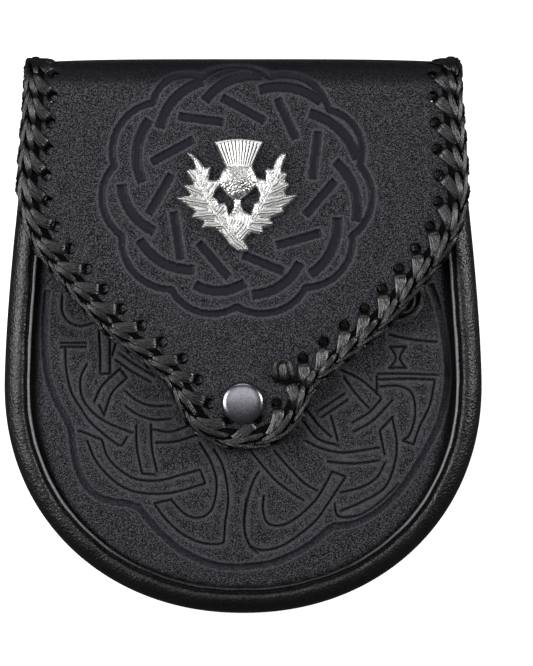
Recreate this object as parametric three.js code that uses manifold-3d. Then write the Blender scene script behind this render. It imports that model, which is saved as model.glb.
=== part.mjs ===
// A sporran pouch of black leather with a laced flap, a thistle badge and a press stud.
// It lies on its back: +X runs across it, +Y up towards the fold, +Z out of its front.
// The origin is the centre of its footprint on the surface that it lies on. Sizes are millimetres.
import * as THREE from "three";
import { mergeVertices } from "three/addons/utils/BufferGeometryUtils.js";
import Module from "manifold-3d";

const wasm = await Module();
wasm.setup();

// Pouch
const HEIGHT = 203; // from the lowest point of the pouch to the top of the fold
const BODY_WIDTH = 174.6; // at the widest level
const BODY_TOP_WIDTH = 151; // where the sides would meet the level of the fold
const BELLY_HEIGHT = 83.5; // height of the widest level above the lowest point
const BELLY_POWER = 2.1; // 2 is an ellipse, more is fuller at the lower corners
const SIDE_POWER = 1.5; // how the sides lean in above the widest level
const BODY_DEPTH = 36; // over the front and back rims
const GUSSET_WALL = 2;
const GUSSET_TOP_GAP = 15.5; // from the top of the fold down to the ends of the gusset
const RIM_WIDTH = 9.6; // width of each rolled rim, seen from the front
const LIP_HEIGHT = 1.2; // how far the seam lip inside the front rim lies under the rim's crown
const LIP_CREASE = 0.4; // depth of the crease between the rim's roll and its lip
const RIM_ROLL = 6.2; // height in which each rim rolls over into the wall
const WAIST = 1.2; // how far the gusset's wall draws in between its two rims
const RIM_FLAT = 2.6; // width of the back rim that is pressed flat where the pouch lies on it

// Panels
const FRONT_PANEL_THICK = 2.2;
const FRONT_RECESS = 3.6; // from the front rim's crown down to the panel's edge
const FRONT_DOME = 1.6; // how far the front panel swells in its middle
const BACK_PANEL_THICK = 2;
const BACK_RECESS = 6.7; // from the back rim up to the panel
const PANEL_TUCK = 4.6; // how far each panel goes under its rim
const MOUTH_GAP = 17; // from the top of the fold down to the front panel's top edge

// Flap
const FLAP_THICK = 2.2;
const FLAP_WIDTH = 162.4; // of the leather, inside the lacing
const FLAP_DROP = 141; // from the top of the fold down to the leather's tip
const FOLD_REACH = 12.5; // how far the fold stands above the level where the flap turns straight
const FOLD_POWER = 2.5; // 2 is a round fold, more is squarer
const FOLD_SAG = 1.6; // how far the fold drops at its ends
const SAG_POWER = 4; // more keeps the drop nearer to the ends
const FLAP_BOW = 2; // how far the middle of the flap bows out
const LAP_LENGTH = 22; // of the flap that is sewn down on the back panel
const LAP_TAPER = 2.5; // length in which the flap narrows from the fold to the lap

// Lacing
const LACE_THICK = 1.3;
const LACE_REACH = 6.9; // how far the lacing covers each face of the flap, in from the edge
const LACE_PITCH = 9.6; // from one stitch to the next, along the line of the holes
const LACE_RIB = 0.35; // how far the stitches stand out
const HOLE_DIAMETER = 3.6;
const HOLE_INSET = 8.9; // from the leather's edge to the centres of the lace holes

// Press stud
const SNAP_DOWN = 125.5; // from the top of the fold down to the press stud
const CAP_DIAMETER = 15.6;
const CAP_HEIGHT = 3.1;
const CAP_RIM = 0.8; // height of the cap's upright edge
const POST_DIAMETER = 4.6;
const SOCKET_DIAMETER = 11;
const STUD_DIAMETER = 5.8;
const STUD_BASE_DIAMETER = 10;
const STUD_BASE_THICK = 0.7;
const SOCKET_ROOF = 0.5;
const SNAP_CHAMFER = 0.4;
const RIVET_DIAMETER = 3.4;
const RIVET_HEAD_DIAMETER = 8;
const RIVET_HEAD_THICK = 1;

// Badge
const BADGE_WIDTH = 42.8;
const BADGE_HEIGHT = 40.8;
const BADGE_DOWN = 51; // from the top of the fold down to the badge's centre
const BADGE_ASIDE = -1.8; // the badge sits a little left of the middle
const BADGE_BASE = 1.2; // thickness of its plate
const BADGE_RELIEF = 1; // how far the veins of its leaves stand out at the root
const BULB_RISE = 3.2; // how far the thistle's bulb stands out of the plate
const BADGE_POST_DIAMETER = 2;
const BADGE_POST_SPACING = 12;

// Belt loops
const LOOP_WIDTH = 20; // across, along the strap's way
const LOOP_PASSAGE = 30; // height of the strap that goes through
const LOOP_THICK = 1.8;
const LOOP_RAMP = 4;
const LOOP_FOOT = 9;
const LOOP_SPACING = 90; // between the middles of the two loops
const LOOP_GAP = 4.5; // from the end of the lap down to the loops

// Clearances
const GAP = 0.3; // between pieces that touch in the real thing
const HOLE_PLAY = 0.3; // round each post

// How finely curves are cut
const ROUND_SIDES = 20;
const SMALL_SIDES = 6;
const BELLY_STEPS = 13;
const SIDE_STEPS = 5;
const FOLD_STEPS = 10;
const ARC_DEGREES = 9;
const FLAP_ROW = 8; // longest stretch of the flap's edge between two rows
const FLAP_COLUMNS = 8;
const PANEL_COLUMNS = 6;
const SECTIONS_PER_STITCH = 3;

const BLACK_LEATHER = { color: 0x141416, roughness: 0.55, metalness: 0 };
const BLACK_LACE = { color: 0x0d0d0f, roughness: 0.35, metalness: 0 };
const SILVER = { color: 0xd8d6d0, roughness: 0.3, metalness: 1 };
const PEWTER = { color: 0x8d8b93, roughness: 0.35, metalness: 1 };

const flapEdgeHalf = FLAP_WIDTH / 2;
const flapInnerHeight = BODY_DEPTH + LACE_THICK + 2 * GAP; // over the front rim and the lacing
const flapOuterHeight = flapInnerHeight + FLAP_THICK;
const lapInnerHeight = BACK_RECESS - GAP;
const lapOuterHeight = lapInnerHeight - FLAP_THICK;
const frontPanelHeight = BODY_DEPTH - FRONT_RECESS;

// The leather edge of the flap's right half, from the fold to the tip: each row is a corner,
// as shares of the half width and of the drop, with its rounding as a share of the half width.
const FLAP_CORNERS = [
  { across: 0.958, down: 0, round: 0 },
  { across: 1.0, down: 0.438, round: 0.56 },
  { across: 0.636, down: 0.69, round: 0.6 },
  { across: 0.318, down: 0.838, round: 0.15 },
  { across: 0.189, down: 1.0, round: 0.26 },
  { across: 0, down: 1.0, round: 0 },
];

// The left leaf of the badge, as shares of its half width and half height from its centre.
// The outer edge runs from the root up to the top, the inner edge back down.
const LEAF_OUTER = [
  { across: -0.02, up: -0.9, edge: "root" },
  { across: -0.18, up: -0.72, edge: "root" },
  { across: -0.3, up: -0.59, edge: "root" },
  { across: -0.42, up: -0.55, edge: "valley" },
  { across: -0.59, up: -0.57, edge: "tip" },
  { across: -0.54, up: -0.42, edge: "valley" },
  { across: -0.76, up: -0.39, edge: "tip" },
  { across: -0.66, up: -0.24, edge: "valley" },
  { across: -1.0, up: -0.04, edge: "tip" },
  { across: -0.75, up: 0.02, edge: "valley" },
  { across: -0.89, up: 0.15, edge: "tip" },
  { across: -0.74, up: 0.22, edge: "valley" },
  { across: -0.84, up: 0.42, edge: "tip" },
  { across: -0.74, up: 0.48, edge: "valley" },
  { across: -0.85, up: 0.77, edge: "top" },
];
const LEAF_INNER = [
  { across: -0.69, up: 0.68, edge: "side" },
  { across: -0.54, up: 0.51, edge: "valley" },
  { across: -0.43, up: 0.52, edge: "tip" },
  { across: -0.47, up: 0.27, edge: "valley" },
  { across: -0.25, up: 0.31, edge: "bulb" },
  { across: -0.25, up: 0.18, edge: "bulb" },
  { across: -0.41, up: 0.03, edge: "valley" },
  { across: -0.42, up: -0.06, edge: "valley" },
  { across: -0.32, up: -0.06, edge: "tip" },
  { across: -0.28, up: -0.16, edge: "valley" },
  { across: -0.2, up: -0.13, edge: "tip" },
  { across: -0.16, up: -0.34, edge: "valley" },
  { across: 0.02, up: -0.34, edge: "root" },
  { across: 0.02, up: -0.9, edge: "root" },
];
// The leaf's midrib, from the root to the top.
const LEAF_SPINE = [
  { across: -0.02, up: -0.84 },
  { across: -0.24, up: -0.48 },
  { across: -0.46, up: -0.19 },
  { across: -0.61, up: 0.16 },
  { across: -0.69, up: 0.48 },
  { across: -0.83, up: 0.74 },
];
const MIDRIB = { width: 0.07, endShare: 0.9, tipShare: 0.35 };
const SIDE_VEIN = { width: 0.06, rise: 0.8, endShare: 0.3 };
const VEIN_RISE = 0.14; // how far below its tip each side vein leaves the midrib
const CROWN = {
  topHalf: 0.405,
  bottomHalf: 0.215,
  top: 0.97,
  middleTop: 1.0,
  bottom: 0.5,
  ribs: 9,
  ribRise: 1.4,
  ribEndShare: 0.62,
  plateRise: 0.3,
};
const BULB = { half: 0.335, top: 0.56, bottom: -0.08 };
const STALK = { half: 0.055, top: 0.02, bottom: -0.4 };
const TAIL = [
  { across: -0.06, up: -0.84 },
  { across: 0.07, up: -0.97 },
  { across: 0.19, up: -0.965 },
  { across: 0.11, up: -0.83 },
  { across: 0.06, up: -0.74 },
];

const lerp = (a, b, t) => a + (b - a) * t;
const clamp01 = (t) => Math.min(1, Math.max(0, t));
const steps = (n) => Array.from({ length: n + 1 }, (_, i) => i / n);

// Signed power, for rounding a curve into a fuller one.
const power = (v, p) => Math.sign(v) * Math.abs(v) ** p;

// A closed geometry from points and triangles, with shared points merged and slivers left out.
function closedGeometry(points, triangles) {
  const loose = new THREE.BufferGeometry();
  loose.setAttribute("position", new THREE.Float32BufferAttribute(points.flatMap((p) => [p.x, p.y, p.z]), 3));
  loose.setIndex(triangles.flat());
  const merged = mergeVertices(loose, 1e-3);
  const index = Array.from(merged.index.array);
  const kept = [];
  for (let i = 0; i < index.length; i += 3) {
    const [a, b, c] = index.slice(i, i + 3);
    if (a !== b && b !== c && c !== a) kept.push(a, b, c);
  }
  merged.setIndex(kept);
  return merged;
}

function solidOf(geometry) {
  const bare = geometry.clone();
  bare.deleteAttribute("normal");
  bare.deleteAttribute("uv");
  const merged = mergeVertices(bare, 1e-3);
  const mesh = new wasm.Mesh({
    numProp: 3,
    vertProperties: merged.attributes.position.array,
    triVerts: new Uint32Array(merged.index.array),
  });
  return new wasm.Manifold(mesh);
}

function geometryOf(solid) {
  const mesh = solid.getMesh();
  const geometry = new THREE.BufferGeometry();
  geometry.setAttribute("position", new THREE.BufferAttribute(mesh.vertProperties, 3));
  geometry.setIndex(new THREE.BufferAttribute(mesh.triVerts, 1));
  geometry.computeVertexNormals();
  return geometry;
}

const union = (geometries) => geometries.map(solidOf).reduce((all, one) => all.add(one));
const cutBy = (geometry, cutters) => geometryOf(solidOf(geometry).subtract(union(cutters)));

// A sheet between two grids of points with the same rows and columns. The outer grid's face points
// out where its rows run down and its columns run right.
function sheetGeometry(outer, inner) {
  const columns = outer[0].length;
  const points = [...outer.flat(), ...inner.flat()];
  const innerStart = outer.length * columns;
  const at = (row, column, side) => row * columns + column + side * innerStart;
  const triangles = [];
  const quad = (a, b, c, d) => triangles.push([a, b, c], [a, c, d]);
  for (let row = 0; row + 1 < outer.length; row++) {
    for (let column = 0; column + 1 < columns; column++) {
      quad(at(row, column, 0), at(row + 1, column, 0), at(row + 1, column + 1, 0), at(row, column + 1, 0));
      quad(at(row, column, 1), at(row, column + 1, 1), at(row + 1, column + 1, 1), at(row + 1, column, 1));
    }
    quad(at(row, 0, 0), at(row, 0, 1), at(row + 1, 0, 1), at(row + 1, 0, 0));
    const last = columns - 1;
    quad(at(row, last, 0), at(row + 1, last, 0), at(row + 1, last, 1), at(row, last, 1));
  }
  const bottom = outer.length - 1;
  for (let column = 0; column + 1 < columns; column++) {
    quad(at(0, column, 0), at(0, column + 1, 0), at(0, column + 1, 1), at(0, column, 1));
    quad(at(bottom, column, 0), at(bottom, column, 1), at(bottom, column + 1, 1), at(bottom, column + 1, 0));
  }
  return closedGeometry(points, triangles);
}

// A body swept through sections, each a closed loop of points that runs anticlockwise when
// the sections come towards the viewer. The caps follow the flat profile.
function sweptGeometry(sections, profile) {
  const count = profile.length;
  const triangles = [];
  for (let section = 0; section + 1 < sections.length; section++) {
    for (let i = 0; i < count; i++) {
      const j = (i + 1) % count;
      const here = section * count;
      const next = here + count;
      triangles.push([here + i, here + j, next + j], [here + i, next + j, next + i]);
    }
  }
  const lastStart = (sections.length - 1) * count;
  for (const [a, b, c] of THREE.ShapeUtils.triangulateShape(profile, [])) {
    triangles.push([a, c, b], [lastStart + a, lastStart + b, lastStart + c]);
  }
  return closedGeometry(sections.flat(), triangles);
}

function lathe(profile, sides) {
  const turned = new THREE.LatheGeometry(profile.map(([r, h]) => new THREE.Vector2(r, h)), sides);
  return turned.rotateX(Math.PI / 2);
}

const cylinder = (diameter, height, sides) =>
  new THREE.CylinderGeometry(diameter / 2, diameter / 2, height, sides).rotateX(Math.PI / 2);

// The outline of the pouch, right half, from its lowest point up to a level under the fold.
function bodyHalf(topGap) {
  const half = BODY_WIDTH / 2;
  const lean = (BODY_WIDTH - BODY_TOP_WIDTH) / 2;
  const points = [];
  for (const t of steps(BELLY_STEPS)) {
    const angle = (t * Math.PI) / 2;
    const across = half * power(Math.sin(angle), 2 / BELLY_POWER);
    points.push(new THREE.Vector2(across, BELLY_HEIGHT * (1 - power(Math.cos(angle), 2 / BELLY_POWER))));
  }
  for (const t of steps(SIDE_STEPS).slice(1)) {
    const y = lerp(BELLY_HEIGHT, HEIGHT - topGap, t);
    const share = (y - BELLY_HEIGHT) / (HEIGHT - BELLY_HEIGHT);
    points.push(new THREE.Vector2(half - lean * share ** SIDE_POWER, y));
  }
  return points;
}

// Each point of an open line with its unit normal to the right of the way that the line runs.
function withNormals(points) {
  return points.map((point, i) => {
    const before = points[Math.max(0, i - 1)];
    const after = points[Math.min(points.length - 1, i + 1)];
    const along = after.clone().sub(before).normalize();
    return { point, normal: new THREE.Vector2(along.y, -along.x) };
  });
}

const mirrored = (points) => points.map((p) => new THREE.Vector2(-p.x, p.y));

// The pouch's right half outline, moved in by a distance. The lowest point stays on the middle.
function bodyHalfInset(topGap, inset) {
  const moved = withNormals(bodyHalf(topGap)).map((p) => p.point.clone().addScaledVector(p.normal, -inset));
  moved[0].x = 0;
  moved[moved.length - 1].y = HEIGHT - topGap;
  return moved;
}

// The gusset's profile. Each row is how far in from the outline it lies, as a share of the rim's
// width, and how deep under the rim's crown, as a share of the roll. The wall's inner face follows
// the rows that are lined.
const FRONT_ROLL = [
  { inward: 0.66, deep: 0.08, lined: false },
  { inward: 0.44, deep: 0, lined: true },
  { inward: 0.22, deep: 0.13, lined: false },
  { inward: 0.06, deep: 0.48, lined: true },
  { inward: 0, deep: 1, lined: true },
];
const BACK_ROLL = [
  { inward: 0, deep: 1, lined: true },
  { inward: 0.07, deep: 0.42, lined: true },
  { inward: 0.2, deep: 0.11, lined: false },
];
const LIP = { crest: 0.93, crease: 0.81 };
const BACK_LIP = { flatStart: 0.33, bend: 0.95, bendUp: 0.5 };

function gussetProfile() {
  const frontEnd = BODY_DEPTH - FRONT_RECESS + GAP;
  const backEnd = BACK_RECESS - GAP;
  const lipTop = BODY_DEPTH - LIP_HEIGHT;
  const flatStart = BACK_LIP.flatStart * RIM_WIDTH;
  const row = (inward, height, lined) => ({ point: new THREE.Vector2(inward, height), lined });
  const frontRoll = FRONT_ROLL.map((r) => row(r.inward * RIM_WIDTH, BODY_DEPTH - r.deep * RIM_ROLL, r.lined));
  const backRoll = BACK_ROLL.map((r) => row(r.inward * RIM_WIDTH, r.deep * RIM_ROLL, r.lined));
  const outside = [
    row(RIM_WIDTH, frontEnd, true),
    row(RIM_WIDTH, lipTop - LIP_CREASE, false),
    row(LIP.crest * RIM_WIDTH, lipTop, false),
    row(LIP.crease * RIM_WIDTH, lipTop - LIP_CREASE, false),
    ...frontRoll,
    row(WAIST, BODY_DEPTH / 2, true),
    ...backRoll,
    row(flatStart, 0, true),
    row(flatStart + RIM_FLAT, 0, true),
    row(BACK_LIP.bend * RIM_WIDTH, BACK_LIP.bendUp * backEnd, true),
    row(RIM_WIDTH, backEnd, true),
  ];
  const lined = withNormals(outside.filter((r) => r.lined).map((r) => r.point));
  const inside = lined.map((p) => p.point.clone().addScaledVector(p.normal, -GUSSET_WALL)).reverse();
  inside[0].y = backEnd;
  inside[inside.length - 1].y = frontEnd;
  return [...outside.map((r) => r.point), ...inside];
}

function gusset() {
  const right = bodyHalf(GUSSET_TOP_GAP);
  const left = mirrored(right).reverse();
  const line = withNormals([...left, ...right.slice(1)]);
  const profile = gussetProfile();
  const sections = line.map(({ point, normal }) =>
    profile.map((p) => new THREE.Vector3(point.x - normal.x * p.x, point.y - normal.y * p.x, p.y)),
  );
  return sweptGeometry(sections, profile);
}

// How far the front panel swells at a place, in a row whose ends are the panel's edge. It is flat
// under the rim.
function frontDome(x, y, rowHalf) {
  const across = x / (rowHalf - PANEL_TUCK);
  const middle = (HEIGHT - MOUTH_GAP + RIM_WIDTH) / 2;
  const along = (y - middle) / (middle - RIM_WIDTH);
  return FRONT_DOME * clamp01(1 - across ** 2) * clamp01(1 - along ** 4);
}

// A panel inside a rim, between two heights that may change from place to place.
function panel(topGap, lower, upper) {
  const edge = bodyHalfInset(topGap, RIM_WIDTH - PANEL_TUCK).reverse();
  const rows = (height) =>
    edge.map(({ x, y }) =>
      steps(PANEL_COLUMNS).map((c) => {
        const across = x * (2 * c - 1);
        return new THREE.Vector3(across, y, height(across, y, x));
      }),
    );
  return sheetGeometry(rows(upper), rows(lower));
}

function frontPanel() {
  const upper = (x, y, rowHalf) => frontPanelHeight + frontDome(x, y, rowHalf);
  const lower = (x, y, rowHalf) => upper(x, y, rowHalf) - FRONT_PANEL_THICK;
  const plate = panel(MOUTH_GAP, lower, upper);
  const hole = cylinder(RIVET_DIAMETER + 2 * HOLE_PLAY, 3 * FRONT_PANEL_THICK, ROUND_SIDES);
  hole.translate(0, HEIGHT - SNAP_DOWN, frontPanelHeight);
  return cutBy(plate, [hole]);
}

const backPanel = () =>
  panel(
    GUSSET_TOP_GAP,
    () => BACK_RECESS,
    () => BACK_RECESS + BACK_PANEL_THICK,
  );

// The line of corners with each corner rounded by an arc.
function roundedLine(corners) {
  const points = [];
  corners.forEach(({ point, radius }, i) => {
    if (!radius) {
      points.push(point);
      return;
    }
    const before = corners[i - 1].point.clone().sub(point).normalize();
    const after = corners[i + 1].point.clone().sub(point).normalize();
    const turn = Math.PI - before.angleTo(after);
    const tangent = radius * Math.tan(turn / 2);
    const middle = before.clone().add(after).normalize();
    const centre = point.clone().addScaledVector(middle, radius / Math.cos(turn / 2));
    const start = point.clone().addScaledVector(before, tangent).sub(centre);
    const way = Math.sign(before.cross(after));
    const count = Math.ceil((turn * 180) / Math.PI / ARC_DEGREES);
    for (const t of steps(count)) {
      points.push(start.clone().rotateAround(new THREE.Vector2(), -way * turn * t).add(centre));
    }
  });
  return points;
}

// The fold, seen from the side: points of the flap's outer face from the front round to the back,
// with the distance run so far.
const fold = (() => {
  const middle = (flapOuterHeight + lapOuterHeight) / 2;
  const half = (flapOuterHeight - lapOuterHeight) / 2;
  let length = 0;
  let last = null;
  return steps(96).map((t) => {
    const angle = t * Math.PI;
    const y = HEIGHT - FOLD_REACH + FOLD_REACH * power(Math.sin(angle), 2 / FOLD_POWER);
    const z = middle + half * power(Math.cos(angle), 2 / FOLD_POWER);
    const point = new THREE.Vector2(y, z);
    if (last) length += point.distanceTo(last);
    last = point;
    return { point, length };
  });
})();
const foldLength = fold[fold.length - 1].length;

// The flap's outer face, seen from the side. The run is the distance down the front from where the
// fold ends, and is below 0 over the fold and on the back. Returns the place and the outward normal.
function flapSide(run) {
  if (run >= 0) return { y: HEIGHT - FOLD_REACH - run, z: flapOuterHeight, normal: new THREE.Vector2(0, 1) };
  if (run <= -foldLength) {
    return { y: HEIGHT - FOLD_REACH + run + foldLength, z: lapOuterHeight, normal: new THREE.Vector2(0, -1) };
  }
  const next = fold.findIndex((f) => f.length >= -run);
  const a = fold[next - 1];
  const b = fold[next];
  const t = (-run - a.length) / (b.length - a.length);
  const along = b.point.clone().sub(a.point).normalize();
  const place = a.point.clone().lerp(b.point, t);
  return { y: place.x, z: place.y, normal: new THREE.Vector2(-along.y, along.x) };
}

// How far the front of the flap bows out at a place.
function flapBow(x, run) {
  const share = clamp01(run / (FLAP_DROP - FOLD_REACH));
  const across = clamp01(1 - (x / flapEdgeHalf) ** 2);
  return FLAP_BOW * Math.sin(Math.PI * share ** 0.8) * across;
}

// A point of the flap: across from the middle, the run, and the lift over its outer face.
function flapPoint(x, run, lift) {
  const { y, z, normal } = flapSide(run);
  const overFold = Math.sin(Math.PI * clamp01(-run / foldLength));
  const sag = FOLD_SAG * Math.abs(x / flapEdgeHalf) ** SAG_POWER * overFold;
  return new THREE.Vector3(x, y + normal.x * lift - sag, z + normal.y * lift + flapBow(x, run));
}

// The leather edge of the flap's right half as (across, run) from the fold's back to the tip.
const flapEdgeRight = (() => {
  const corners = FLAP_CORNERS.map((c) => ({
    point: new THREE.Vector2(c.across * flapEdgeHalf, c.down * FLAP_DROP - FOLD_REACH),
    radius: c.round * flapEdgeHalf,
  }));
  const top = corners[0].point.x;
  const front = roundedLine(corners).filter((p) => p.y > 0);
  const over = steps(FOLD_STEPS).map((t) => new THREE.Vector2(top, -foldLength * (1 - t)));
  return [...over, ...front];
})();

// Extra rows in long straight stretches, so that the bowed front stays smooth.
function refined(points, longest) {
  return points.flatMap((p, i) => {
    if (!i) return [p];
    const before = points[i - 1];
    const count = Math.max(1, Math.ceil(before.distanceTo(p) / longest));
    return steps(count)
      .slice(1)
      .map((t) => before.clone().lerp(p, t));
  });
}

// Where a lace hole lies, in from a place on the flap's edge.
const insetHole = ({ point, normal }) => point.clone().addScaledVector(normal, -HOLE_INSET);

// Places along the whole edge of the flap, from the back of the fold on the right, round the tip, to
// the back on the left, each with the direction out of the leather, and how far along it is,
// measured on the line of the lace holes.
const flapEdge = (() => {
  const right = refined(flapEdgeRight, 4);
  const left = mirrored(right);
  const line = withNormals([...right, ...left.slice(0, -1).reverse()]);
  let length = 0;
  return line.map((place, i) => {
    if (i) length += insetHole(place).distanceTo(insetHole(line[i - 1]));
    return { ...place, length };
  });
})();
const holeLineLength = flapEdge[flapEdge.length - 1].length;

function edgePlace(length) {
  const next = Math.max(1, flapEdge.findIndex((p) => p.length >= length - 1e-6));
  const a = flapEdge[next - 1];
  const b = flapEdge[next];
  const t = clamp01((length - a.length) / (b.length - a.length));
  return { point: a.point.clone().lerp(b.point, t), normal: a.normal.clone().lerp(b.normal, t).normalize() };
}

const stitchCount = Math.round(holeLineLength / LACE_PITCH);
const stitchPitch = holeLineLength / stitchCount;

// A cylinder that goes through the flap at a place.
function flapCutter(x, run, diameter, sides) {
  const from = flapPoint(x, run, -2 * FLAP_THICK);
  const to = flapPoint(x, run, FLAP_THICK);
  const cutter = new THREE.CylinderGeometry(diameter / 2, diameter / 2, from.distanceTo(to), sides);
  const along = to.clone().sub(from).normalize();
  const turn = new THREE.Quaternion().setFromUnitVectors(new THREE.Vector3(0, 1, 0), along);
  cutter.applyQuaternion(turn);
  return cutter.translate(...from.lerp(to, 0.5).toArray());
}

const laceHoles = () =>
  Array.from({ length: stitchCount }, (_, i) => {
    const hole = insetHole(edgePlace((i + 0.5) * stitchPitch));
    return flapCutter(hole.x, hole.y, HOLE_DIAMETER, SMALL_SIDES);
  });

const badgePosts = [-0.5, 0.5].map((side) => ({
  x: BADGE_ASIDE,
  run: BADGE_DOWN - FOLD_REACH + side * BADGE_POST_SPACING,
}));

function flap() {
  const lapHalf = BODY_TOP_WIDTH / 2 - RIM_WIDTH - 1;
  const lap = [LAP_LENGTH, LAP_TAPER].map((past) => new THREE.Vector2(lapHalf, -foldLength - past));
  const edge = [...lap, ...refined(flapEdgeRight, FLAP_ROW)].reverse();
  // The columns stand closer together towards the two edges, where the fold drops.
  const columns = steps(FLAP_COLUMNS).map((c) => Math.sin(Math.PI * (c - 0.5)));
  const rows = (lift) => edge.map((p) => columns.map((share) => flapPoint(p.x * share, p.y, lift)));
  const sheet = sheetGeometry(rows(-FLAP_THICK), rows(0));
  const postHoles = badgePosts.map(({ x, run }) =>
    flapCutter(x, run, BADGE_POST_DIAMETER + 2 * HOLE_PLAY, SMALL_SIDES),
  );
  const snapHole = flapCutter(0, SNAP_DOWN - FOLD_REACH, POST_DIAMETER + 2 * HOLE_PLAY, ROUND_SIDES);
  return cutBy(sheet, [...laceHoles(), ...postHoles, snapHole]);
}

// The lacing's profile round the leather's edge: how far out from the edge, the lift over the
// outer face, and how strongly the ribs of the stitches show there.
function laceProfile() {
  const under = -FLAP_THICK;
  const out = GAP + LACE_THICK;
  return [
    { out: -LACE_REACH, lift: GAP, rib: 0 },
    { out: GAP, lift: GAP, rib: 0 },
    { out: GAP, lift: under - GAP, rib: 0 },
    { out: -LACE_REACH, lift: under - GAP, rib: 0 },
    { out: -LACE_REACH, lift: under - GAP - 0.7 * LACE_THICK, rib: 0 },
    { out: 0, lift: under - GAP - 0.9 * LACE_THICK, rib: 0 },
    { out: out, lift: 0.8 * under, rib: 1 },
    { out: out, lift: 0.2 * under, rib: 1 },
    { out: 0, lift: GAP + LACE_THICK, rib: 1 },
    { out: -0.5 * LACE_REACH, lift: GAP + LACE_THICK, rib: 1 },
    { out: -LACE_REACH, lift: GAP + 0.6 * LACE_THICK, rib: 0.5 },
  ];
}

// The stitches slant across the edge, so each point of the profile meets a rib at its own place.
function edgeLacing() {
  const profile = laceProfile();
  const count = stitchCount * SECTIONS_PER_STITCH;
  const sections = steps(count).map((t) => {
    const length = t * holeLineLength;
    const { point, normal } = edgePlace(length);
    return profile.map(({ out, lift, rib }) => {
      const phase = (length - out) / stitchPitch;
      const bulge = LACE_RIB * rib * Math.cos(2 * Math.PI * phase);
      const side = lift > -FLAP_THICK / 2 ? 1 : -1;
      const place = point.clone().addScaledVector(normal, out + (out > 0 ? bulge : 0));
      return flapPoint(place.x, place.y, lift + side * (out > 0 ? 0 : bulge));
    });
  });
  return sweptGeometry(
    sections,
    profile.map(({ out, lift }) => new THREE.Vector2(out, lift)),
  );
}

const snapPlace = { x: 0, y: HEIGHT - SNAP_DOWN };
const snapFlapHeight = flapPoint(0, SNAP_DOWN - FOLD_REACH, 0).z;
const snapPanelHeight = frontPanelHeight + frontDome(snapPlace.x, snapPlace.y, BODY_WIDTH / 2);

// The cap, its post through the flap, and the socket under the flap, as one body.
function snapCap() {
  const capFoot = snapFlapHeight + GAP;
  const socketTop = snapFlapHeight - FLAP_THICK - GAP;
  const socketFoot = snapPanelHeight + 2 * GAP + STUD_BASE_THICK;
  const recess = STUD_DIAMETER / 2 + GAP;
  const cap = CAP_DIAMETER / 2;
  const dome = steps(6).map((t) => {
    const angle = (t * Math.PI) / 2;
    return [cap * Math.cos(angle), capFoot + CAP_RIM + (CAP_HEIGHT - CAP_RIM) * Math.sin(angle)];
  });
  return lathe(
    [
      [0, socketTop - SOCKET_ROOF],
      [recess, socketTop - SOCKET_ROOF],
      [recess, socketFoot],
      [SOCKET_DIAMETER / 2, socketFoot],
      [SOCKET_DIAMETER / 2, socketTop - SNAP_CHAMFER],
      [SOCKET_DIAMETER / 2 - SNAP_CHAMFER, socketTop],
      [POST_DIAMETER / 2, socketTop],
      [POST_DIAMETER / 2, capFoot],
      [cap - SNAP_CHAMFER, capFoot],
      ...dome,
    ],
    ROUND_SIDES,
  );
}

// The stud that the socket snaps onto, riveted through the front panel, as one body.
function snapStud() {
  const baseFoot = snapPanelHeight + GAP;
  const baseTop = baseFoot + STUD_BASE_THICK;
  const studTop = snapFlapHeight - FLAP_THICK - GAP - SOCKET_ROOF - GAP;
  const headTop = snapPanelHeight - FRONT_PANEL_THICK - GAP;
  return lathe(
    [
      [0, headTop - RIVET_HEAD_THICK],
      [RIVET_HEAD_DIAMETER / 2 - SNAP_CHAMFER, headTop - RIVET_HEAD_THICK],
      [RIVET_HEAD_DIAMETER / 2, headTop],
      [RIVET_DIAMETER / 2, headTop],
      [RIVET_DIAMETER / 2, baseFoot],
      [STUD_BASE_DIAMETER / 2, baseFoot],
      [STUD_BASE_DIAMETER / 2, baseTop],
      [0.4 * STUD_DIAMETER, baseTop],
      [0.5 * STUD_DIAMETER, lerp(baseTop, studTop, 0.6)],
      [0.4 * STUD_DIAMETER, studTop],
      [0, studTop],
    ],
    ROUND_SIDES,
  );
}

const badgePoint = ({ across, up }, side = 1) =>
  new THREE.Vector2((side * across * BADGE_WIDTH) / 2, (up * BADGE_HEIGHT) / 2);

function plate(points, thickness) {
  const ordered = THREE.ShapeUtils.isClockWise(points) ? [...points].reverse() : points;
  const settings = { depth: thickness, bevelEnabled: false, steps: 1 };
  return new THREE.ExtrudeGeometry(new THREE.Shape(ordered), settings);
}

// A roof-shaped vein on top of the badge's plate, from one place to another, falling to its end.
function vein(from, to, width, rise, endShare) {
  const aside = to.clone().sub(from).normalize().rotateAround(new THREE.Vector2(), Math.PI / 2);
  const corner = (place, half, height) =>
    new THREE.Vector3(place.x + aside.x * half, place.y + aside.y * half, height);
  const foot = 0.6 * BADGE_BASE;
  const end = (width * endShare) / 2;
  const points = [
    corner(from, width / 2, foot),
    corner(from, -width / 2, foot),
    corner(from, 0, BADGE_BASE + rise),
    corner(to, end, foot),
    corner(to, -end, foot),
    corner(to, 0, BADGE_BASE + rise * endShare),
  ];
  const triangles = [
    [0, 1, 2],
    [3, 5, 4],
    [0, 4, 1],
    [0, 3, 4],
    [1, 5, 2],
    [1, 4, 5],
    [2, 3, 0],
    [2, 5, 3],
  ];
  return closedGeometry(points, triangles);
}

// The place on the leaf's midrib that a side vein to the given tip leaves from.
function veinRoot(tip) {
  const level = tip.up - VEIN_RISE;
  const next = LEAF_SPINE.findIndex((p) => p.up > level);
  if (next < 1) return LEAF_SPINE[0];
  const a = LEAF_SPINE[next - 1];
  const b = LEAF_SPINE[next];
  const t = (level - a.up) / (b.up - a.up);
  return { across: lerp(a.across, b.across, t), up: level };
}

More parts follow.
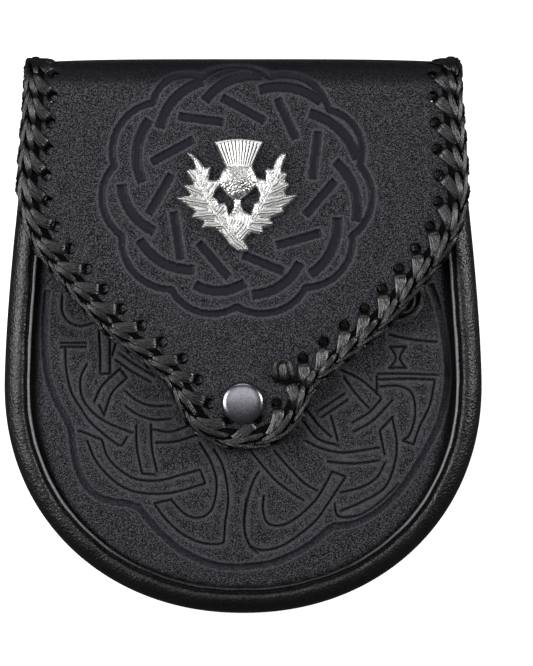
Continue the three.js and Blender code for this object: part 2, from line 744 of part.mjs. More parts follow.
function badgeLeaf(side) {
  const outline = [...LEAF_OUTER, ...LEAF_INNER];
  const blade = plate(
    outline.map((p) => badgePoint(p, side)),
    BADGE_BASE,
  );
  const midribWidth = MIDRIB.width * BADGE_WIDTH;
  const veinWidth = SIDE_VEIN.width * BADGE_WIDTH;
  const veinRise = SIDE_VEIN.rise * BADGE_RELIEF;
  const midrib = LEAF_SPINE.slice(1).map((p, i) => {
    const endShare = i + 2 < LEAF_SPINE.length ? MIDRIB.endShare : MIDRIB.tipShare;
    return vein(badgePoint(LEAF_SPINE[i], side), badgePoint(p, side), midribWidth, BADGE_RELIEF, endShare);
  });
  const veins = outline
    .filter((p) => p.edge === "tip")
    .map((tip) => {
      const root = badgePoint(veinRoot(tip), side);
      return vein(root, badgePoint(tip, side), veinWidth, veinRise, SIDE_VEIN.endShare);
    });
  return [blade, ...midrib, ...veins];
}

// The thistle's tuft: a fan of upright ribs on a plate.
function badgeCrown() {
  const corners = [
    { across: -CROWN.topHalf, up: CROWN.top },
    { across: -CROWN.bottomHalf, up: CROWN.bottom },
    { across: CROWN.bottomHalf, up: CROWN.bottom },
    { across: CROWN.topHalf, up: CROWN.top },
    { across: 0, up: CROWN.middleTop },
  ];
  const ribs = Array.from({ length: CROWN.ribs }, (_, i) => {
    const share = (2 * (i + 0.5)) / CROWN.ribs - 1;
    const up = lerp(CROWN.middleTop, CROWN.top, Math.abs(share));
    const top = badgePoint({ across: share * CROWN.topHalf, up });
    const bottom = badgePoint({ across: share * CROWN.bottomHalf, up: CROWN.bottom });
    const width = (CROWN.topHalf * BADGE_WIDTH) / CROWN.ribs;
    return vein(top, bottom, width, CROWN.ribRise * BADGE_RELIEF, CROWN.ribEndShare);
  });
  return [plate(corners.map((c) => badgePoint(c)), BADGE_BASE + CROWN.plateRise * BADGE_RELIEF), ...ribs];
}

// The bulb is the upper half of a flattened ball, narrower at its foot.
function badgeBulb() {
  const half = (BULB.half * BADGE_WIDTH) / 2;
  const tall = ((BULB.top - BULB.bottom) * BADGE_HEIGHT) / 4;
  const radius = 1;
  const ball = new THREE.SphereGeometry(radius, 16, 10);
  ball.rotateX(Math.PI / 2);
  const slice = new THREE.BoxGeometry(4 * radius, 4 * radius, 2 * radius).translate(0, 0, radius);
  const dome = geometryOf(solidOf(ball).intersect(solidOf(slice)));
  dome.scale(half, tall, BADGE_BASE + BULB_RISE);
  return dome.translate(0, ((BULB.top + BULB.bottom) * BADGE_HEIGHT) / 4, 0);
}

function badge() {
  const stalk = [
    { across: -STALK.half, up: STALK.top },
    { across: -STALK.half, up: STALK.bottom },
    { across: STALK.half, up: STALK.bottom },
    { across: STALK.half, up: STALK.top },
  ];
  const foot = flapPoint(BADGE_ASIDE, BADGE_DOWN - FOLD_REACH, 0).z + GAP;
  const posts = badgePosts.map(({ run }) => {
    const post = cylinder(BADGE_POST_DIAMETER, FLAP_THICK + 2 * GAP + 0.5 * BADGE_BASE, SMALL_SIDES);
    const middle = -(FLAP_THICK + 2 * GAP) / 2 + 0.25 * BADGE_BASE;
    return post.translate(0, BADGE_DOWN - FOLD_REACH - run, middle);
  });
  const pieces = [
    ...badgeLeaf(1),
    ...badgeLeaf(-1),
    ...badgeCrown(),
    badgeBulb(),
    plate(stalk.map((p) => badgePoint(p)), BADGE_BASE + BADGE_RELIEF),
    plate(TAIL.map((p) => badgePoint(p)), BADGE_BASE),
    ...posts,
  ];
  const made = geometryOf(union(pieces));
  return made.translate(BADGE_ASIDE, HEIGHT - BADGE_DOWN, foot);
}

// A bridge of leather on the back panel, seen from the side, with the strap's way under it.
function beltLoop() {
  const top = HEIGHT - FOLD_REACH - LAP_LENGTH - LOOP_GAP;
  const bottom = top - LOOP_PASSAGE - 2 * (LOOP_FOOT + LOOP_RAMP);
  const foot = BACK_RECESS - GAP;
  const halfThick = 0.5 * LOOP_THICK;
  const half = (end, way) => [
    [end, foot],
    [end, foot - LOOP_THICK],
    [end + way * LOOP_FOOT, foot - LOOP_THICK],
    [end + way * (LOOP_FOOT + LOOP_RAMP), 0],
  ];
  const inner = (end, way) => [
    [end + way * (LOOP_FOOT + LOOP_RAMP + halfThick), LOOP_THICK],
    [end + way * (LOOP_FOOT + halfThick), foot],
  ];
  const outline = [
    ...half(bottom, 1),
    ...half(top, -1).reverse(),
    ...inner(top, -1).reverse(),
    ...inner(bottom, 1),
  ].map(([y, z]) => new THREE.Vector2(y, z));
  const bridge = plate(outline, LOOP_WIDTH);
  const turn = new THREE.Matrix4().makeBasis(
    new THREE.Vector3(0, 1, 0),
    new THREE.Vector3(0, 0, 1),
    new THREE.Vector3(1, 0, 0),
  );
  return bridge.applyMatrix4(turn).translate(-LOOP_WIDTH / 2, 0, 0);
}

function mesh(name, geometry, look) {
  const made = new THREE.Mesh(geometry, new THREE.MeshStandardMaterial(look));
  made.name = name;
  return made;
}

const pouch = new THREE.Group();
pouch.add(
  mesh("gusset", gusset(), BLACK_LEATHER),
  mesh("front_panel", frontPanel(), BLACK_LEATHER),
  mesh("back_panel", backPanel(), BLACK_LEATHER),
  mesh("flap", flap(), BLACK_LEATHER),
  mesh("edge_lacing", edgeLacing(), BLACK_LACE),
  mesh("badge", badge(), SILVER),
);

const snapPost = new THREE.Group();
snapPost.position.set(snapPlace.x, snapPlace.y, 0);
snapPost.add(mesh("snap_cap", snapCap(), PEWTER), mesh("snap_stud", snapStud(), PEWTER));
pouch.add(snapPost);

for (const [name, side] of [
  ["belt_loop_left", -1],
  ["belt_loop_right", 1],
]) {
  const loop = mesh(name, beltLoop(), BLACK_LEATHER);
  loop.position.x = (side * LOOP_SPACING) / 2;
  pouch.add(loop);
}

// The whole pouch is moved so that the origin is the centre of its footprint.
const bounds = new THREE.Box3().setFromObject(pouch, true);
pouch.position.set(-(bounds.min.x + bounds.max.x) / 2, -(bounds.min.y + bounds.max.y) / 2, -bounds.min.z);

const sporran = new THREE.Group();
sporran.add(pouch);

export default sporran;
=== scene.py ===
# The looks of a sporran pouch: black tooled leather, a braided edge, a cast thistle and a press stud.
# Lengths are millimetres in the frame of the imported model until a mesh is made, and metres after.
import math

import bpy
import numpy as np
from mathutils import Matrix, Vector
from mathutils.geometry import delaunay_2d_cdt
from mathutils.kdtree import KDTree


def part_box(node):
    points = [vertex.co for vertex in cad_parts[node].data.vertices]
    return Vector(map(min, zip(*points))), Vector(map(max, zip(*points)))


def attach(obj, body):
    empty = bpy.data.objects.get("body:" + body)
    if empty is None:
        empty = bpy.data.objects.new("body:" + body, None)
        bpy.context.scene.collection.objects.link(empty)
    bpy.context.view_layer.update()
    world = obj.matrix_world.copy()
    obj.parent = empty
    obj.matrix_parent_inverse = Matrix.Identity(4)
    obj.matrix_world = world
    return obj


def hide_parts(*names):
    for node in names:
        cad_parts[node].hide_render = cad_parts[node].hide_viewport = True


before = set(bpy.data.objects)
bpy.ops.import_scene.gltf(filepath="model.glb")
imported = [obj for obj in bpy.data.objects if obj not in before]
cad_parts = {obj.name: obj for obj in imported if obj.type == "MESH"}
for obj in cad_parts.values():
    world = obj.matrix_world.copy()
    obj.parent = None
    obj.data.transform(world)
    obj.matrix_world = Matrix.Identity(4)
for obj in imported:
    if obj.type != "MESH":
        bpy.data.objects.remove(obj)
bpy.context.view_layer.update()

MM = 0.001

# Pouch, as in the part
HEIGHT = 203.0
BODY_WIDTH = 174.6
BODY_TOP_WIDTH = 151.0
BELLY_HEIGHT = 83.5
BELLY_POWER = 2.1
SIDE_POWER = 1.5
BODY_DEPTH = 36.0
GUSSET_TOP_GAP = 15.5
RIM_WIDTH = 9.6
FRONT_PANEL_THICK = 2.2
FRONT_RECESS = 3.6
FRONT_DOME = 1.6
BACK_RECESS = 6.7
PANEL_TUCK = 4.6
MOUTH_GAP = 17.0
FLAP_THICK = 2.2
FLAP_WIDTH = 162.4
FLAP_DROP = 141.0
FOLD_REACH = 12.5
FOLD_POWER = 2.5
FOLD_SAG = 1.6
SAG_POWER = 4
FLAP_BOW = 2.0
LAP_LENGTH = 22.0
LAP_TAPER = 2.5
LACE_THICK = 1.3
LACE_REACH = 6.9
LACE_PITCH = 9.6
HOLE_DIAMETER = 3.9
HOLE_INSET = 8.9
SNAP_DOWN = 125.5
BADGE_DOWN = 51.0
BADGE_ASIDE = -1.8
LOOP_WIDTH = 20.0
LOOP_PASSAGE = 30.0
LOOP_THICK = 1.8
LOOP_RAMP = 4.0
LOOP_FOOT = 9.0
LOOP_SPACING = 90.0
LOOP_GAP = 4.5
GAP = 0.3

MIDDLE = HEIGHT / 2  # from the lowest point of the pouch up to the frame's origin
FLAP_HALF = FLAP_WIDTH / 2
FLAP_TOP = BODY_DEPTH + LACE_THICK + 2 * GAP + FLAP_THICK
LAP_BOTTOM = BACK_RECESS - GAP - FLAP_THICK
FRONT_PANEL_TOP = BODY_DEPTH - FRONT_RECESS

# The photograph's frame: the pixel that shows the origin, and the size of a pixel.
PHOTO_X = 243.0
PHOTO_Y = 335.5
PHOTO_MM = 0.3638
PHOTO_WIDTH = 533
PHOTO_HEIGHT = 666


def photo(points):
    """Pixels of the photograph as places in the frame."""
    p = np.asarray(points, float)
    return np.stack([(p[..., 0] - PHOTO_X) * PHOTO_MM, (PHOTO_Y - p[..., 1]) * PHOTO_MM], -1)


def smooth(t):
    t = np.clip(t, 0.0, 1.0)
    return t * t * (3 - 2 * t)


def power(v, p):
    return np.sign(v) * np.abs(v) ** p


def spline(points, step):
    """A smooth line through the points, with its own points a step apart."""
    p = np.asarray(points, float)
    p = np.vstack([2 * p[0] - p[1], p, 2 * p[-1] - p[-2]])
    fine = []
    t = np.linspace(0, 1, 16, endpoint=False)[:, None]
    for a, b, c, d in zip(p[:-3], p[1:-2], p[2:-1], p[3:]):
        slope = (c - a) * t
        bend = (2 * a - 5 * b + 4 * c - d) * t**2
        twist = (3 * b - a - 3 * c + d) * t**3
        fine.append(0.5 * (2 * b + slope + bend + twist))
    fine.append(p[-2][None, :])
    return resample(np.vstack(fine), step)


def resample(line, step):
    """The line again with points an equal distance apart, near the step."""
    length = np.r_[0, np.cumsum(np.linalg.norm(np.diff(line, axis=0), axis=1))]
    count = max(2, int(round(length[-1] / step)) + 1)
    at = np.linspace(0, length[-1], count)
    return np.stack([np.interp(at, length, line[:, k]) for k in range(line.shape[1])], -1)


def normals_2d(line):
    """Unit normals to the right of the way that the line runs."""
    along = np.gradient(line, axis=0)
    along /= np.maximum(np.linalg.norm(along, axis=1, keepdims=True), 1e-9)
    return np.stack([along[:, 1], -along[:, 0]], -1)


def inside(points, loop):
    """Whether each point lies inside a closed loop."""
    x, y = points[:, 0], points[:, 1]
    found = np.zeros(len(points), bool)
    for (x0, y0), (x1, y1) in zip(loop, np.roll(loop, -1, axis=0)):
        if y0 == y1:
            continue
        crosses = (y0 > y) != (y1 > y)
        found ^= crosses & (x < (x1 - x0) * (y - y0) / (y1 - y0) + x0)
    return found


def distances(points, samples, reach):
    """The distance from each point to the nearest sample, where it is under the reach."""
    tree = KDTree(len(samples))
    for i, s in enumerate(samples):
        tree.insert((s[0], s[1], 0), i)
    tree.balance()
    low, high = samples.min(0) - reach, samples.max(0) + reach
    near = np.all((points >= low) & (points <= high), axis=1)
    found = np.full(len(points), reach)
    for i in np.nonzero(near)[0]:
        found[i] = min(reach, tree.find((points[i, 0], points[i, 1], 0))[2])
    return found


def thin(points, cell):
    """The points with at most one in each cell of a grid, the first ones first."""
    keys = np.round(points / cell).astype(np.int64)
    _, first = np.unique(keys, axis=0, return_index=True)
    return points[np.sort(first)]


# Mesh making


def mesh_piece(name, verts, faces, material, node=None, shade=True, marks=None):
    mesh = bpy.data.meshes.new(name)
    mesh.from_pydata((np.asarray(verts, float) * MM).tolist(), [], [tuple(int(i) for i in f) for f in faces])
    mesh.validate()
    for key, values in (marks or {}).items():
        mesh.attributes.new(key, "FLOAT", "POINT").data.foreach_set("value", np.asarray(values, np.float32))
    if shade:
        mesh.shade_smooth()
    made = bpy.data.objects.new(name, mesh)
    bpy.context.scene.collection.objects.link(made)
    made.data.materials.append(material)
    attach(made, "root")
    if node:
        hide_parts(node)
    return made


class Parts:
    """Several closed bodies that are made into one mesh."""

    def __init__(self):
        self.verts = []
        self.faces = []
        self.marks = {}
        self.count = 0

    def add(self, verts, faces, **marks):
        self.verts.append(np.asarray(verts, float))
        self.faces += [tuple(i + self.count for i in f) for f in faces]
        for key, values in marks.items():
            self.marks.setdefault(key, []).append(np.broadcast_to(values, len(verts)))
        self.count += len(verts)

    def piece(self, name, material, node=None):
        marks = {key: np.concatenate(values) for key, values in self.marks.items()}
        return mesh_piece(name, np.vstack(self.verts), self.faces, material, node, True, marks)


def swept(sections):
    """Faces of a body through sections of equal count, with flat ends."""
    rows, count = sections.shape[:2]
    faces = []
    for r in range(rows - 1):
        a, b = r * count, (r + 1) * count
        for i in range(count):
            j = (i + 1) % count
            faces.append((a + i, a + j, b + j, b + i))
    faces.append(tuple(range(count))[::-1])
    faces.append(tuple((rows - 1) * count + i for i in range(count)))
    return faces


def tube(path, radius, sides):
    """A round thread along a path, with tapered ends."""
    along = np.gradient(path, axis=0)
    along /= np.maximum(np.linalg.norm(along, axis=1, keepdims=True), 1e-9)
    up = np.where(np.abs(along[:, 2:3]) > 0.9, [[1.0, 0, 0]], [[0, 0, 1.0]])
    a = np.cross(along, up)
    a /= np.linalg.norm(a, axis=1, keepdims=True)
    b = np.cross(a, along)
    turn = np.linspace(0, 2 * math.pi, sides, endpoint=False)
    ring = np.cos(turn)[None, :, None] * a[:, None, :] + np.sin(turn)[None, :, None] * b[:, None, :]
    sections = path[:, None, :] + np.broadcast_to(radius, len(path))[:, None, None] * ring
    return sections.reshape(-1, 3), swept(sections)


def relief_solid(outline, holes, points, top, bottom):
    """A sheet with a fine upper face and a plain lower face over the same outline and holes.
    Returns its points, its faces, and the flat places of the upper face's points, which come first."""
    loops = [outline, *holes]
    rim = np.vstack(loops)
    edges = []
    start = 0
    for loop in loops:
        n = len(loop)
        edges += [(start + i, start + (i + 1) % n) for i in range(n)]
        start += n

    def triangles(inner):
        places = np.vstack([rim, inner])
        found = delaunay_2d_cdt([Vector(p) for p in places], edges, [], 0, 1e-7, False)
        flat = np.array([v[:] for v in found[0]])
        tris = np.array(found[2])
        middle = flat[tris].mean(1)
        keep = inside(middle, outline)
        for hole in holes:
            keep &= ~inside(middle, hole)
        assert len(flat) == len(places), "points of a sheet fall on each other"
        return flat, tris[keep]

    def clear(inner, margin):
        keep = inside(inner, outline) & (distances(inner, rim, margin) >= margin)
        for hole in holes:
            keep &= ~inside(inner, hole)
        return inner[keep]

    upper, upper_tris = triangles(clear(points, 0.25))
    low, high = outline.min(0), outline.max(0)
    gx, gy = np.meshgrid(np.arange(low[0], high[0], 4.1), np.arange(low[1], high[1], 3.1))
    lower, lower_tris = triangles(clear(np.stack([gx.ravel(), gy.ravel()], -1), 1.2))
    verts = np.vstack([top(upper), bottom(lower)])
    offset = len(upper)
    faces = [tuple(t) for t in upper_tris]
    faces += [(t[0] + offset, t[2] + offset, t[1] + offset) for t in lower_tris]
    for a, b in edges:
        faces.append((a, b, b + offset, a + offset))
    return verts, faces, upper


def outward(faces, verts):
    """The faces, turned round if the body is inside out."""
    total = 0.0
    for f in faces:
        a = verts[f[0]]
        for i in range(1, len(f) - 1):
            total += np.dot(a, np.cross(verts[f[i]], verts[f[i + 1]]))
    return faces if total > 0 else [tuple(f[::-1]) for f in faces]


# The pouch's outline and panels


def body_half(top_gap, belly_steps, side_steps):
    """The right half of the outline, from the lowest point up."""
    half = BODY_WIDTH / 2
    lean = (BODY_WIDTH - BODY_TOP_WIDTH) / 2
    angle = np.linspace(0, math.pi / 2, belly_steps)
    belly_x = half * power(np.sin(angle), 2 / BELLY_POWER)
    belly_y = BELLY_HEIGHT * (1 - power(np.cos(angle), 2 / BELLY_POWER))
    belly = np.stack([belly_x, belly_y], -1)
    y = np.linspace(BELLY_HEIGHT, HEIGHT - top_gap, side_steps)[1:]
    share = (y - BELLY_HEIGHT) / (HEIGHT - BELLY_HEIGHT)
    line = np.vstack([belly, np.stack([half - lean * share**SIDE_POWER, y], -1)])
    return line - [0, MIDDLE]


def body_line(top_gap, step):
    """The whole outline from the top of the left side round to the top of the right."""
    right = body_half(top_gap, 400, 200)
    left = right[::-1] * [-1, 1]
    return resample(np.vstack([left, right[1:]]), step)


def panel_outline(top_gap, step):
    line = body_line(top_gap, step)
    edge = line - normals_2d(line) * (RIM_WIDTH - PANEL_TUCK)
    edge[0, 1] = edge[-1, 1] = HEIGHT - top_gap - MIDDLE
    top = resample(edge[[-1, 0]], step)[1:-1]
    return np.vstack([edge, top])


def front_dome(p):
    """How far the front panel swells at each place."""
    half_line = body_half(MOUTH_GAP, 200, 100)
    half = np.interp(p[:, 1], half_line[:, 1], half_line[:, 0]) - RIM_WIDTH
    across = p[:, 0] / np.maximum(half, 1e-6)
    middle = (HEIGHT - MOUTH_GAP + RIM_WIDTH) / 2
    along = (p[:, 1] + MIDDLE - middle) / (middle - RIM_WIDTH)
    return FRONT_DOME * np.clip(1 - across**2, 0, 1) * np.clip(1 - along**4, 0, 1)


def hide_waves(p, size):
    """A slight unevenness that every piece of leather has."""
    x, y = p[:, 0] / 31, p[:, 1] / 27
    broad = np.sin(x + 0.7 * y + 1.3) * np.sin(1.3 * y - 0.4 * x)
    small = 0.5 * np.sin(2.3 * x + 0.4) * np.sin(1.9 * y + 2)
    return size * (broad + small)


# The flap


def fold_table():
    middle = (FLAP_TOP + LAP_BOTTOM) / 2
    half = (FLAP_TOP - LAP_BOTTOM) / 2
    angle = np.linspace(0, math.pi, 600)
    y = HEIGHT - FOLD_REACH + FOLD_REACH * power(np.sin(angle), 2 / FOLD_POWER) - MIDDLE
    z = middle + half * power(np.cos(angle), 2 / FOLD_POWER)
    line = np.stack([y, z], -1)
    length = np.r_[0, np.cumsum(np.linalg.norm(np.diff(line, axis=0), axis=1))]
    along = np.gradient(line, axis=0)
    along /= np.maximum(np.linalg.norm(along, axis=1, keepdims=True), 1e-9)
    return length, line, np.stack([-along[:, 1], along[:, 0]], -1)


FOLD_LENGTHS, FOLD_LINE, FOLD_NORMALS = fold_table()
FOLD_LENGTH = FOLD_LENGTHS[-1]


def flap_points(p, lift):
    """Places on the flap from (across, run) and the lift over its outer face."""
    x, run = p[:, 0], p[:, 1]
    over = np.clip(-run, 0, FOLD_LENGTH)
    y = np.interp(over, FOLD_LENGTHS, FOLD_LINE[:, 0]) - np.maximum(run, 0)
    y += np.minimum(run + FOLD_LENGTH, 0)
    z = np.interp(over, FOLD_LENGTHS, FOLD_LINE[:, 1])
    ny = np.interp(over, FOLD_LENGTHS, FOLD_NORMALS[:, 0])
    nz = np.interp(over, FOLD_LENGTHS, FOLD_NORMALS[:, 1])
    ny = np.where(run >= 0, 0, np.where(run <= -FOLD_LENGTH, 0, ny))
    nz = np.where(run >= 0, 1, np.where(run <= -FOLD_LENGTH, -1, nz))
    size = np.hypot(ny, nz)
    sag = FOLD_SAG * np.abs(x / FLAP_HALF) ** SAG_POWER * np.sin(math.pi * over / FOLD_LENGTH)
    share = np.clip(run / (FLAP_DROP - FOLD_REACH), 0, 1)
    bow = FLAP_BOW * np.sin(math.pi * share**0.8) * np.clip(1 - (x / FLAP_HALF) ** 2, 0, 1)
    return np.stack([x, y + ny / size * lift - sag, z + nz / size * lift + bow], -1)


# The leather edge of the flap's right half, as in the part.
FLAP_CORNERS = [
    {"across": 0.958, "down": 0.0, "round": 0.0},
    {"across": 1.0, "down": 0.438, "round": 0.56},
    {"across": 0.636, "down": 0.69, "round": 0.6},
    {"across": 0.318, "down": 0.838, "round": 0.15},
    {"across": 0.189, "down": 1.0, "round": 0.26},
    {"across": 0.0, "down": 1.0, "round": 0.0},
]


def rounded(corners):
    """The line of corners with each corner rounded by an arc."""
    line = []
    for i, (corner, radius) in enumerate(corners):
        if not radius:
            line.append(corner)
            continue
        before = corners[i - 1][0] - corner
        after = corners[i + 1][0] - corner
        before /= np.linalg.norm(before)
        after /= np.linalg.norm(after)
        turn = math.pi - math.acos(np.clip(before @ after, -1, 1))
        centre = before + after
        centre = corner + centre / np.linalg.norm(centre) * radius / math.cos(turn / 2)
        start = corner + before * radius * math.tan(turn / 2) - centre
        way = -np.sign(before[0] * after[1] - before[1] * after[0])
        for t in np.linspace(0, way * turn, 24):
            c, s = math.cos(t), math.sin(t)
            line.append(centre + [c * start[0] - s * start[1], s * start[0] + c * start[1]])
    return np.array(line)


def flap_edge():
    """The leather edge from the back of the fold on the right, round the tip, to the left."""
    corners = [
        (np.array([c["across"] * FLAP_HALF, c["down"] * FLAP_DROP - FOLD_REACH]), c["round"] * FLAP_HALF)
        for c in FLAP_CORNERS
    ]
    front = rounded(corners)
    top = front[0, 0]
    right = np.vstack([[[top, -FOLD_LENGTH], [top, 0]], front[front[:, 1] > 0]])
    return resample(np.vstack([right, right[-2::-1] * [-1, 1]]), 0.4)


EDGE = flap_edge()
EDGE_NORMALS = normals_2d(EDGE)
HOLE_LINE = EDGE - EDGE_NORMALS * HOLE_INSET
# How far along each point of the edge is, measured on the line of the lace holes inside it.
EDGE_STEPS = np.r_[0, np.cumsum(np.linalg.norm(np.diff(HOLE_LINE, axis=0), axis=1))]
EDGE_LENGTH = EDGE_STEPS[-1]
STITCHES = int(round(EDGE_LENGTH / LACE_PITCH))
PITCH = EDGE_LENGTH / STITCHES


def edge_points(length, out):
    """(across, run) at a length along the edge and a distance out from it."""
    place = np.stack([np.interp(length, EDGE_STEPS, EDGE[:, k]) for k in (0, 1)], -1)
    normal = np.stack([np.interp(length, EDGE_STEPS, EDGE_NORMALS[:, k]) for k in (0, 1)], -1)
    normal /= np.linalg.norm(normal, axis=1, keepdims=True)
    return place + normal * np.reshape(out, (-1, 1))


def on_flap(px):
    """(across, run) on the front of the flap, from pixels of the photograph."""
    p = photo(px)
    return np.stack([p[..., 0], HEIGHT - FOLD_REACH - MIDDLE - p[..., 1]], -1)


# Materials


class Shading:
    """A material's nodes: a shader and helpers that add what drives it."""

    def __init__(self, name):
        self.material = bpy.data.materials.new(name)
        self.material.use_nodes = True
        self.nodes = self.material.node_tree.nodes
        self.links = self.material.node_tree.links
        self.shader = self.nodes["Principled BSDF"]
        self.place = self.nodes.new("ShaderNodeTexCoord").outputs["Object"]

    def set(self, key, value):
        socket = self.shader.inputs[key]
        if isinstance(value, bpy.types.NodeSocket):
            self.links.new(value, socket)
        else:
            socket.default_value = value

    def noise(self, size, detail=2.0, place=None):
        """Noise with features about as large as the size, in millimetres."""
        node = self.nodes.new("ShaderNodeTexNoise")
        node.inputs["Scale"].default_value = 1 / (size * MM)
        node.inputs["Detail"].default_value = detail
        self.links.new(place or self.place, node.inputs["Vector"])
        return node.outputs["Fac"]

    def cells(self, size):
        node = self.nodes.new("ShaderNodeTexVoronoi")
        node.inputs["Scale"].default_value = 1 / (size * MM)
        self.links.new(self.place, node.inputs["Vector"])
        return node.outputs["Distance"]

    def mark(self, name):
        node = self.nodes.new("ShaderNodeAttribute")
        node.attribute_name = name
        return node.outputs["Fac"]

    def spread(self, value, from_low, from_high, to_low, to_high):
        node = self.nodes.new("ShaderNodeMapRange")
        keys = ("From Min", "From Max", "To Min", "To Max")
        for key, number in zip(keys, (from_low, from_high, to_low, to_high)):
            if isinstance(number, bpy.types.NodeSocket):
                self.links.new(number, node.inputs[key])
            else:
                node.inputs[key].default_value = number
        self.links.new(value, node.inputs["Value"])
        return node.outputs["Result"]

    def combine(self, operation, a, b):
        node = self.nodes.new("ShaderNodeMath")
        node.operation = operation
        for socket, value in zip(node.inputs, (a, b)):
            if isinstance(value, bpy.types.NodeSocket):
                self.links.new(value, socket)
            else:
                socket.default_value = value
        return node.outputs[0]

    def blend(self, factor, a, b):
        node = self.nodes.new("ShaderNodeMix")
        node.data_type = "RGBA"
        sockets = [i for i in node.inputs if i.type == "RGBA"]
        for socket, color in zip(sockets, (a, b)):
            if isinstance(color, bpy.types.NodeSocket):
                self.links.new(color, socket)
            else:
                socket.default_value = (*color, 1)
        self.links.new(factor, node.inputs["Factor"])
        return [o for o in node.outputs if o.type == "RGBA"][0]

    def bump(self, height, depth, strength=1.0):
        node = self.nodes.new("ShaderNodeBump")
        node.inputs["Strength"].default_value = strength
        node.inputs["Distance"].default_value = depth * MM
        self.links.new(height, node.inputs["Height"])
        self.set("Normal", node.outputs["Normal"])


def leather(name, pit, crest, rough, grain_size, grain_depth, pressed=None, painted_highlight=None, gloss=0.3):
    """Grained leather, dark in its pits. Where the mark 'tooled' is 1 it is pressed smooth, where
    the highlight mark is 1 it is painted pale as a highlight, and where 'cut' is 1 it is painted as dark as
    a pit, as shade."""
    made = Shading(name)
    cells = made.combine("MULTIPLY", made.cells(grain_size), 0.4)
    grain = made.combine("ADD", made.noise(grain_size, 2), cells)
    crests = made.spread(grain, 0.62, 0.9, 0, 1)
    color = made.blend(crests, pit, crest)
    cloudy = made.spread(made.noise(18, 2), 0.3, 0.7, -0.04, 0.06)
    roughness = made.combine("ADD", made.spread(crests, 0, 1, rough + 0.2, rough), cloudy)
    height = grain
    if pressed:
        mark = made.mark("tooled")
        color = made.blend(mark, color, pressed)
        height = made.combine("MULTIPLY", grain, made.spread(mark, 0, 1, 1, 0.1))
        roughness = made.combine("SUBTRACT", roughness, made.combine("MULTIPLY", mark, 0.1))
    if painted_highlight:
        # Painted highlight: a pale colour where the highlight mark is set.
        color = made.blend(made.mark("painted_highlight"), color, painted_highlight)
    # Painted shade: as dark as a pit where the mark 'cut' is set.
    made.set("Base Color", made.blend(made.mark("cut"), color, pit))
    made.set("Roughness", roughness)
    made.set("Specular IOR Level", gloss)
    made.bump(height, grain_depth)
    return made.material


def lace_material():
    """Glossy flat lace with streaks along it."""
    made = Shading("lace")
    place = made.nodes.new("ShaderNodeCombineXYZ")
    made.links.new(made.combine("MULTIPLY", made.mark("across"), MM), place.inputs["X"])
    made.links.new(made.combine("MULTIPLY", made.mark("along"), MM / 8), place.inputs["Y"])
    streaks = made.noise(0.55, 3, place.outputs["Vector"])
    crests = made.spread(streaks, 0.4, 0.62, 0, 1)
    made.set("Base Color", made.blend(crests, (0.0015, 0.0015, 0.002), (0.009, 0.009, 0.011)))
    made.set("Roughness", made.spread(crests, 0, 1, 0.34, 0.17))
    made.set("Specular IOR Level", 0.9)
    made.bump(streaks, 0.4)
    return made.material


def metal(name, color, hollow, rough, wear, depth):
    """Cast or turned metal with fine wear. Where the mark 'hollow' is 1 it keeps its dark finish."""
    made = Shading(name)
    fine = made.noise(1.1, 3)
    shade = made.mark("hollow")
    made.set("Metallic", 1.0)
    made.set("Base Color", made.blend(shade, made.blend(fine, color, [c * 0.8 for c in color]), hollow))
    made.set("Roughness", made.spread(fine, 0.3, 0.7, rough, rough + wear))
    made.bump(fine, depth)
    return made.material


def plain(name, color, rough, glow):
    made = Shading(name)
    made.set("Base Color", (*color, 1))
    made.set("Roughness", rough)
    made.set("Emission Color", (*color, 1))
    made.set("Emission Strength", glow)
    return made.material


PIT = (0.002, 0.002, 0.0025)
CREST = (0.098, 0.098, 0.114)
PRESSED = (0.0140, 0.0140, 0.0215)
# The pale colour of the painted highlight on the tooled leather's raised lips.
LIP_HIGHLIGHT_COLOR = (0.105, 0.105, 0.122)
tooled_leather = leather("tooled_leather", PIT, CREST, 0.42, 0.46, 0.42, PRESSED, LIP_HIGHLIGHT_COLOR, 0.15)
# The pale colour of the painted highlight on the rim's lip.
RIM_HIGHLIGHT_COLOR = (0.24, 0.24, 0.26)
rim_leather = leather("rim_leather", PIT, (0.010, 0.010, 0.012), 0.22, 0.9, 0.3, painted_highlight=RIM_HIGHLIGHT_COLOR, gloss=0.55)
back_leather = leather("back_leather", PIT, (0.045, 0.044, 0.047), 0.5, 0.8, 0.25)
lace = lace_material()
# A darker copy of the lace material, which paints shade on the braid's core and on loose laces that lie in
# shade.
lace_shade = leather("lace_shade", (0.0008, 0.0008, 0.001), (0.004, 0.004, 0.005), 0.6, 0.5, 0.2, gloss=0.05)
silver = metal("silver", (0.96, 0.955, 0.94), (0.03, 0.03, 0.03), 0.3, 0.14, 0.06)
pewter = metal("pewter", (0.30, 0.296, 0.335), (0.1, 0.1, 0.11), 0.22, 0.08, 0.01)
thread = leather("thread", PIT, (0.02, 0.02, 0.022), 0.5, 0.3, 0.1)

# Tooling


# How smooth the fold is rubbed, and where along the flap that starts, is full, and ends behind it.
FOLD_POLISH = 0.62
FOLD_POLISH_FROM = -0.5
FOLD_POLISH_FULL = -7.0
FOLD_POLISH_END = -16.0
BAND_DEPTH = 0.75
BAND_EDGE_SHADE = 2.4  # how strong the painted shade on the steep edges of the ring's bands is
BORDER_EDGE_SHADE = 3.6  # and the painted shade on the edges of the band round the knotwork
BORDER_PRESSED = 0.65
HOLE_DISH_DEPTH = 0.5
HOLE_DISH_REACH = 1.3
